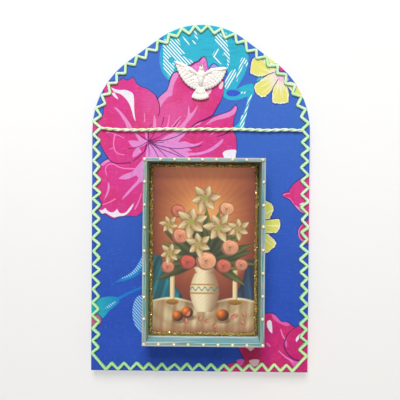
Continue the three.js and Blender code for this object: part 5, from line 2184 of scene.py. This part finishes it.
@dataclass(frozen=True)
class Dove:
    """Moulded dove with spread wings, each feather laid over the next.

    Places are millimetres from its middle, heights from the plane of the glue behind it.

    Attributes:
        reach: half the span of its wings.
        left_tip, right_tip: how high each wing's tip is.
        wing_rows: for each row of a wing's feathers, its reach as a share of the wing, their
            number, width, height and base.
        tail_rows: for each row of the tail's, its reach, its base and their number.
        tail_spread: angle of the tail's outermost feathers off the upright.
        eggs: for the belly, the breast and the head, the middle, the half length, half width
            and depth, and the taper.
        beak: the same for the beak, and its tilt.
        length_steps, across_steps: points along a feather, and across its front.
        egg_rings, egg_around: sections of an egg, and points round one.
    """

    reach: float = 20.9
    left_tip: float = 13.1
    right_tip: float = 7.9
    wing_rows: tuple[tuple[float, int, float, float, float], ...] = (
        (1.0, 11, 3.9, 1.5, 0.0), (0.76, 9, 3.7, 1.35, 0.675), (0.52, 7, 3.5, 1.2, 1.35),
        (0.32, 5, 3.2, 1.1, 1.89),
    )
    tail_rows: tuple[tuple[float, float, int], ...] = ((12.9, 0.0, 7), (8.4, 0.75, 5))
    tail_spread: float = 0.5
    eggs: tuple[tuple[tuple[float, float], Triple, float], ...] = (
        ((0.2, -2.4), (5.6, 2.8, 4.6), -0.25),
        ((0.3, 3.0), (5.4, 3.5, 4.75), 0.2),
        ((0.4, 8.0), (3.6, 1.95, 4.6), 0.18),
    )
    beak: tuple[tuple[float, float], Triple, float, float] = ((0.4, 8.9), (2.5, 0.95, 5.05), -0.25, 0.05)
    length_steps: int = 22
    across_steps: int = 13
    egg_rings: int = 25
    egg_around: int = 28

    @staticmethod
    def limb(rings: np.ndarray, hollow: np.ndarray | float, barb: np.ndarray, gold: float = 0.0) -> Limb:
        """Part with its attributes spread over its sections, and set at its caps.

        Args:
            rings: its sections.
            hollow, barb: attributes of the sections' points; hollow is where the painted shade lies.
            gold: attribute of all of it.

        Returns:
            The part.
        """
        shape = rings.shape[:2]
        return Limb(rings, {
            "hollow": np.append(np.broadcast_to(hollow, shape), [1.0, 1.0]),
            "barb": np.append(np.broadcast_to(barb, shape), [0.0, 0.0]),
            "gold": np.full(shape[0] * shape[1] + 2, gold),
        })

    def feather(
        self, root: np.ndarray, tip: np.ndarray, width: float, height: float,
        base: float = 0.0, lean: float = 0.0, blunt: float = 0.24,
    ) -> Limb:
        """One feather.

        Args:
            root, tip: its ends.
            width: its width at the broadest.
            height: how far it stands out of its base.
            base: how far its base is in front of the glue.
            lean: how much one edge stands higher than the other.
            blunt: share of its length that the round tip takes.

        Returns:
            A blade whose front is half a circle across, lower at the root and the tip, with a
            groove along its spine. Its hollow attribute, the mask of the painted shade, is high at the edges,
            spine and root.
        """
        t = (1 - np.cos(np.linspace(0, np.pi, self.length_steps)))[:, None] / 2
        v = np.sin(np.linspace(-np.pi / 2, np.pi / 2, self.across_steps))
        over = np.clip((t - 1 + blunt) / blunt, 0, 1)
        half = width / 2 * np.minimum(1.0, 0.5 + 0.7 * t) * smoothstep(-0.02, 0.05, t)
        half = half * np.sqrt(np.maximum(1 - over**2.2, 0.0))
        dome = np.sqrt(np.maximum(1 - v**2, 0)) * (0.45 + 0.55 * smoothstep(0, 0.5, t))
        dome = dome * np.sqrt(1 - 0.75 * over**2)
        groove = 0.09 * np.exp(-((v / 0.13) ** 2)) * smoothstep(0, 0.15, t) * smoothstep(1, 0.85, t)
        raised = base + height * (dome * (1 + lean * v) - groove * (dome > 0))
        under = v[-2:0:-1]
        raised = np.pad(raised, ((0, 0), (0, len(under))))
        across = half * np.append(v, under)
        length = np.linalg.norm(tip - root)
        along = (tip - root) / length
        places = (root + along * (t * length))[:, None] + left_of(along) * across[..., None]
        edge = np.append(np.abs(v) ** 4, np.ones(len(under)))
        spine = np.append(np.exp(-((v / 0.14) ** 2)), np.zeros(len(under)))
        hollow = edge * 0.9 + spine * 0.45 * smoothstep(1, 0.7, t) + smoothstep(0.4, 0.0, t) * 0.5
        rings = stand(places[..., 0], -raised, places[..., 1])
        return self.limb(rings, np.clip(hollow, 0, 1), np.abs(across) * 1.1 + t * length)

    def plate(self, outline: np.ndarray, height: float) -> Limb:
        """Low plate that closes the gaps between feathers: its outline, shrunk as it rises."""
        scales, rises = np.array([0.93, 0.93, 0.87, 0.6]), np.array([0.0, 0.6, 1.0, 1.0])
        places = outline.mean(0) + (outline - outline.mean(0)) * scales[:, None, None]
        rings = stand(places[..., 0], -height * rises[:, None], places[..., 1])
        # hollow 0.75: painted shade on the plate between the feathers
        return self.limb(rings, 0.75, rings[..., 0])

    @staticmethod
    def cubic(controls: np.ndarray, t: np.ndarray | float) -> np.ndarray:
        """Points of a cubic curve, the controls weighted (1-t)^3, 3t(1-t)^2, 3t^2(1-t), t^3."""
        weights = [(1 - t) ** 3, 3 * t * (1 - t) ** 2, 3 * t**2 * (1 - t), t**3]
        return np.stack(weights, -1) @ controls

    def wing(self, side: int, tip_height: float) -> list[Limb]:
        """One wing.

        Args:
            side: -1 for the left wing, 1 for the right.
            tip_height: how high its tip is.

        Returns:
            A plate, rows of feathers that fan out of the arm to a curved hem, and the arm.
        """
        tip = np.array([side * self.reach, tip_height])
        wrist = np.array([side * 10.0, 4.4 + 0.3 * tip_height])
        shoulder, armpit = np.array([side * 1.5, 2.2]), np.array([side * 2.2, -1.5])
        low_tip = (side * (self.reach - 1.8), tip_height - 9.5)
        hem = np.array([tip, low_tip, (side * 12, -8.4), (side * 2.8, -9)])
        lead = np.linspace(shoulder, wrist, 8, endpoint=False)
        outer = np.linspace(wrist, tip, 10, endpoint=False)
        made = [self.plate(np.vstack([self.cubic(hem, np.linspace(0, 1, 24)), lead, outer]), 1.15)]
        for reach, count, width, height, base in self.wing_rows:
            for i in range(count):
                t = i / (count - 1)
                root = wrist + (armpit - wrist) * t
                end = root + (self.cubic(hem, t) - root) * reach
                start = root - (end - root) * 0.08
                made.append(self.feather(start, end, width, height + 0.02 * i, base, 0.2 * side))
        forearm = wrist + (shoulder - wrist) * 0.3
        made.append(self.feather(forearm, tip, 3.2, 2.7, 0.2, blunt=0.5))
        made.append(self.feather(shoulder + [0, 0.4], wrist + [side * 2.2, 0.9], 4.4, 3.4, 0.2, blunt=0.4))
        return made

    def tail(self) -> list[Limb]:
        """Tail.

        Returns:
            Its feathers, spread below the body, narrower in the shorter row.
        """
        root = np.array([-0.3, -4.4])
        longest = self.tail_rows[0][0]
        made = []
        for reach, base, count in self.tail_rows:
            for i in range(count):
                angle = (2 * i / (count - 1) - 1) * self.tail_spread - math.pi / 2
                along = np.array([math.cos(angle), math.sin(angle)])
                start, end, width = root + along, root + along * reach, 3.0 * reach / longest
                made.append(self.feather(start, end, width, 1.6 + 0.03 * i, base, 0.12, 0.14))
        return made

    def egg(
        self, middle: tuple[float, float], sizes: Triple, taper: float, tilt: float = 0.0, gold: float = 0.0
    ) -> Limb:
        """Round part of the body, flat behind.

        Args:
            middle: its middle.
            sizes: half its length, half its width, and its depth.
            taper: share by which it is wider below than in the middle.
            tilt: angle of its length off the upright, to the left.
            gold: 1 where it is gilt.

        Returns:
            An ellipsoid, its sections scaled by 1 + taper * cos(rise), the back half pressed flat.
        """
        rise = np.linspace(0, np.pi, self.egg_rings)[:, None]
        turn = full_turn(self.egg_around)
        length, width, depth = sizes
        along = -length * np.cos(rise)
        girth = np.sin(rise) * (1 + taper * np.cos(rise))
        across = width * girth * np.cos(turn)
        out = np.maximum(depth * girth * np.sin(turn), 0.0)
        x = middle[0] + across * math.cos(tilt) - along * math.sin(tilt)
        z = middle[1] + along * math.cos(tilt) + across * math.sin(tilt)
        # hollow: painted shade towards the egg's flat back
        hollow = np.clip(1.1 - 1.3 * out / depth, 0, 1) * 0.8
        return self.limb(stand(x, -out, z), hollow, along + 2 * np.abs(across), gold)

    def build(self) -> bpy.types.Object:
        """Makes the dove as one piece from all its parts.

        Returns:
            The piece.
        """
        limbs = [*self.wing(-1, self.left_tip), *self.wing(1, self.right_tip), *self.tail()]
        limbs += [self.egg(*egg) for egg in self.eggs]
        limbs.append(self.egg(*self.beak, gold=1.0))
        points, faces, values = join_limbs(limbs)
        x, _, z = GLUE_PAD.mean(0)
        spots = points + [x, GLUE_PAD[0, 1], z]
        return add_piece("dove_moulding", spots, faces, IvoryResin().material(), ["dove"], values)


# Back


@dataclass(frozen=True)
class Fibreboard(Finish):
    """Raw edge and face of fibreboard."""

    name: str = "fibreboard"

    def paint(self, tree: Tree) -> None:
        """Brown fibres with dark flecks."""
        place = tree.place()
        fibre = tree.noise(tree.spread(place, (1.0, 3.0, 1.0)), 1.8, 5.0)
        fleck, _ = tree.cells(place, 1.1)
        brown = (
            Coat(tree, (168, 132, 92))
            .over(fibre.ramp(0.3, 0.7), (196, 162, 120))
            .over(fleck.ramp(0.25, 0.05) * 0.35, (120, 88, 56))
        )
        tree.finish(Base_Color=brown, Roughness=0.85, Normal=tree.bump(fibre, 0.15, 0.6))


@dataclass(frozen=True)
class KraftCard(Finish):
    """Brown lining card with pressed fibres and stains."""

    name: str = "kraft_card"

    def paint(self, tree: Tree) -> None:
        """Brown with wide stains, pale upright fibres and dark pulp."""
        place = tree.place()
        pulp = tree.noise(place, 0.9, 6.0)
        fibre = tree.noise(tree.spread(place, (2.2, 1.0, 0.5)), 1.0, 3.0, 0.6)
        brown = (
            Coat(tree, (178, 146, 106))
            .over(tree.noise(place, 0.03, 2.0).ramp(0.35, 0.65), (171, 139, 100))
            .over(fibre.ramp(0.6, 0.75) * 0.5, (206, 178, 138))
            .over(pulp.ramp(0.62, 0.75) * 0.4, (126, 98, 66))
        )
        tree.finish(Base_Color=brown, Roughness=0.8, Normal=tree.bump(pulp * 0.6 + fibre * 0.4, 0.12, 0.5))


@dataclass(frozen=True)
class ZincSteel(Finish):
    """Zinc-plated steel with a faint spangle and fine scratches."""

    name: str = "zinc_steel"

    def paint(self, tree: Tree) -> None:
        """A grey for each cell of the spangle, and scratches along the plate."""
        place = tree.place()
        _, tint = tree.cells(place, 0.8)
        spangle, _, _ = tree.split(tint)
        scratch = tree.drawn_noise(place, (0.4, 1.0, 6.0), 3.0)
        tree.finish(
            Base_Color=Coat(tree, (178, 182, 186)).over(spangle, (204, 206, 208)), Metallic=1.0,
            Roughness=0.26 + 0.18 * scratch, Normal=tree.bump(scratch, 0.05, 0.5),
        )


@dataclass(frozen=True)
class DriedGlue(Finish):
    """Yellowed clear glue."""

    name: str = "dried_glue"

    def paint(self, tree: Tree) -> None:
        """Amber with small round bubbles."""
        bubble, _ = tree.cells(tree.place(), 0.9)
        amber = Coat(tree, (226, 214, 176)).over(bubble.ramp(0.1, 0.6), (206, 190, 146))
        tree.finish(Base_Color=amber, Roughness=0.22, Normal=tree.bump(bubble, 0.2, 0.5))


@dataclass(frozen=True)
class Back:
    """Board, lining, hanger and the dove's glue, kept as the CAD made them.

    Attributes:
        steel_nodes: pieces of the hanger.
    """

    steel_nodes: tuple[str, ...] = ("hanger_plate", "hanger_tack_left", "hanger_tack_right")

    def build(self) -> None:
        """Dresses the pieces on the back, and the glue behind the dove."""
        steel = ZincSteel().material()
        dress("back_board", Fibreboard().material())
        dress("back_lining", KraftCard().material())
        for node in self.steel_nodes:
            dress(node, steel)
        dress("dove_glue_pad", DriedGlue().material())


# Studio


@dataclass(frozen=True)
class WallPaint(Finish):
    """White wall that shows half by its own light, and is clear from behind."""

    name: str = "wall_paint"

    def paint(self, tree: Tree) -> None:
        """White, with painted shade that greys it downwards and to the left."""
        x, _, z = tree.split(tree.place())
        white = (
            Coat(tree, (253, 254, 254))
            # painted shade: greyer downwards and to the left, where less light falls
            .over(z.ramp(60.0, -260.0), (236, 234, 232))
            .over(x.ramp(60.0, -240.0) * z.ramp(100.0, -220.0) * 0.35, (225, 226, 230))
        )
        matt = tree.finish(Base_Color=white, Roughness=0.9).outputs[0]
        glow = tree.node("ShaderNodeEmission", None, {"Color": srgb(246, 245, 243), "Strength": 1.0})
        lit = tree.node("ShaderNodeMixShader", None, {0: tree.shown() * 0.5, 1: matt, 2: glow.outputs[0]})
        behind = tree.node("ShaderNodeNewGeometry").outputs["Backfacing"]
        clear = tree.node("ShaderNodeBsdfTransparent").outputs[0]
        seen = tree.node("ShaderNodeMixShader", None, {0: behind, 1: lit.outputs[0], 2: clear})
        tree.feed(tree.nodes["Material Output"].inputs["Surface"], seen.outputs[0])


@dataclass(frozen=True)
class FloorPaint(Finish):
    """Pale matt floor."""

    name: str = "floor_paint"

    def paint(self, tree: Tree) -> None:
        """Two near whites by a wide noise."""
        speck = tree.noise(tree.place(), 0.02, 3.0)
        tree.finish(Base_Color=Coat(tree, (238, 237, 235)).over(speck, (244, 243, 241)), Roughness=0.8)


@dataclass(frozen=True)
class SoftLamp:
    """Square soft light that faces the object, in metres and watts."""

    name: str
    place: Triple
    size: float
    power: float
    colour: Triple = (1.0, 1.0, 1.0)
    target: Triple = (0.0, 0.0, -0.05)

    def build(self) -> None:
        """Makes the lamp."""
        data = bpy.data.lights.new(self.name, "AREA")
        data.shape, data.size, data.energy, data.color = "SQUARE", self.size, self.power, self.colour
        lamp = bpy.data.objects.new(self.name, data)
        lamp.location = self.place
        lamp.rotation_euler = (Vector(self.target) - Vector(self.place)).to_track_quat("-Z", "Y").to_euler()
        bpy.context.scene.collection.objects.link(lamp)


@dataclass(frozen=True)
class Studio:
    """White wall, pale floor, soft light from above, and the camera.

    Attributes:
        spot: the camera's place, in millimetres.
        yaw, pitch, roll: its turns about Z, X and Y, in radians.
        lens, film, clip: its focal length and film width in millimetres, and clip distances.
        half, gap, level: half the width of wall and floor, how far the wall is behind the
            object, and the floor's height, in metres.
        fill: strength of the light all round.
        lamps: the lamps.
    """

    spot: Triple = (3.085, -372.078, -52.008)
    yaw: float = 0.009238
    pitch: float = -0.009820
    roll: float = -0.007689
    lens: float = 40.415
    film: float = 36.0
    clip: tuple[float, float] = (0.01, 20.0)
    half: float = 2.5
    gap: float = 0.0006
    level: float = -1.3
    fill: float = 0.32
    lamps: tuple[SoftLamp, ...] = (
        SoftLamp("key", (-0.14, -1.25, 1.25), 0.85, 33.0, (1.0, 0.99, 0.97)),
        SoftLamp("rear", (0.4, 1.5, 0.7), 1.2, 14.0),
    )

    def camera(self) -> None:
        """Makes the camera and sets it as the scene's."""
        data = bpy.data.cameras.new("camera")
        data.lens, data.sensor_width = self.lens, self.film
        data.clip_start, data.clip_end = self.clip
        camera = bpy.data.objects.new("camera", data)
        turn = Matrix.Rotation(self.yaw, 3, "Z") @ Matrix.Rotation(self.pitch, 3, "X")
        turn = turn @ Matrix.Rotation(self.roll, 3, "Y")
        right, ahead, up = turn.col[0], turn.col[1], turn.col[2]
        axes = Matrix((right, up, -ahead)).transposed().to_4x4()
        camera.matrix_world = Matrix.Translation(Vector(self.spot) * MM) @ axes
        bpy.context.scene.collection.objects.link(camera)
        bpy.context.scene.camera = camera

    def panel(self, name: str, corners: Sequence[Triple], material: bpy.types.Material) -> bpy.types.Object:
        """Makes a flat part of the studio.

        Args:
            name: its name.
            corners: its four corners, in metres.
            material: its material.

        Returns:
            The object.
        """
        mesh = bpy.data.meshes.new(name)
        mesh.from_pydata(corners, [], [(0, 1, 2, 3)])
        mesh.materials.append(material)
        panel = bpy.data.objects.new(name, mesh)
        bpy.context.scene.collection.objects.link(panel)
        return panel

    def room(self) -> None:
        """Wall just behind the object, without a shadow of its own, and floor far below it."""
        half, gap, level = self.half, self.gap, self.level
        upright = [(-half, gap, -half), (half, gap, -half), (half, gap, half), (-half, gap, half)]
        self.panel("wall", upright, WallPaint().material()).visible_shadow = False
        flat = [(-half, -half, level), (half, -half, level), (half, gap, level), (-half, gap, level)]
        self.panel("floor", flat, FloorPaint().material())

    def world(self) -> None:
        """Soft light all round, and white where the camera sees past the wall."""
        world = bpy.data.worlds.new("studio")
        bpy.context.scene.world = world
        tree = Tree(world)
        tree.nodes.clear()
        light = {"Color": (1.0, 1.0, 1.0, 1.0), "Strength": self.fill}
        soft = tree.node("ShaderNodeBackground", None, light).outputs[0]
        seen = tree.node("ShaderNodeBackground", None, {"Color": srgb(250, 250, 250)}).outputs[0]
        mix = tree.node("ShaderNodeMixShader", None, {0: tree.shown(), 1: soft, 2: seen})
        tree.node("ShaderNodeOutputWorld", None, {"Surface": mix.outputs[0]})

    def build(self) -> None:
        """Sets up the whole studio."""
        bpy.context.scene.view_settings.view_transform = "Standard"
        self.camera()
        self.room()
        self.world()
        for lamp in self.lamps:
            lamp.build()


def main() -> None:
    """Builds the sub-assemblies in order."""
    logging.basicConfig(level=logging.INFO, format="%(name)s %(message)s")
    Studio().build()
    Back().build()
    Cover().build()
    Edging().build()
    DividerCord().build()
    PictureBox().build()
    Dove().build()


if __name__ == "__main__":
    main()
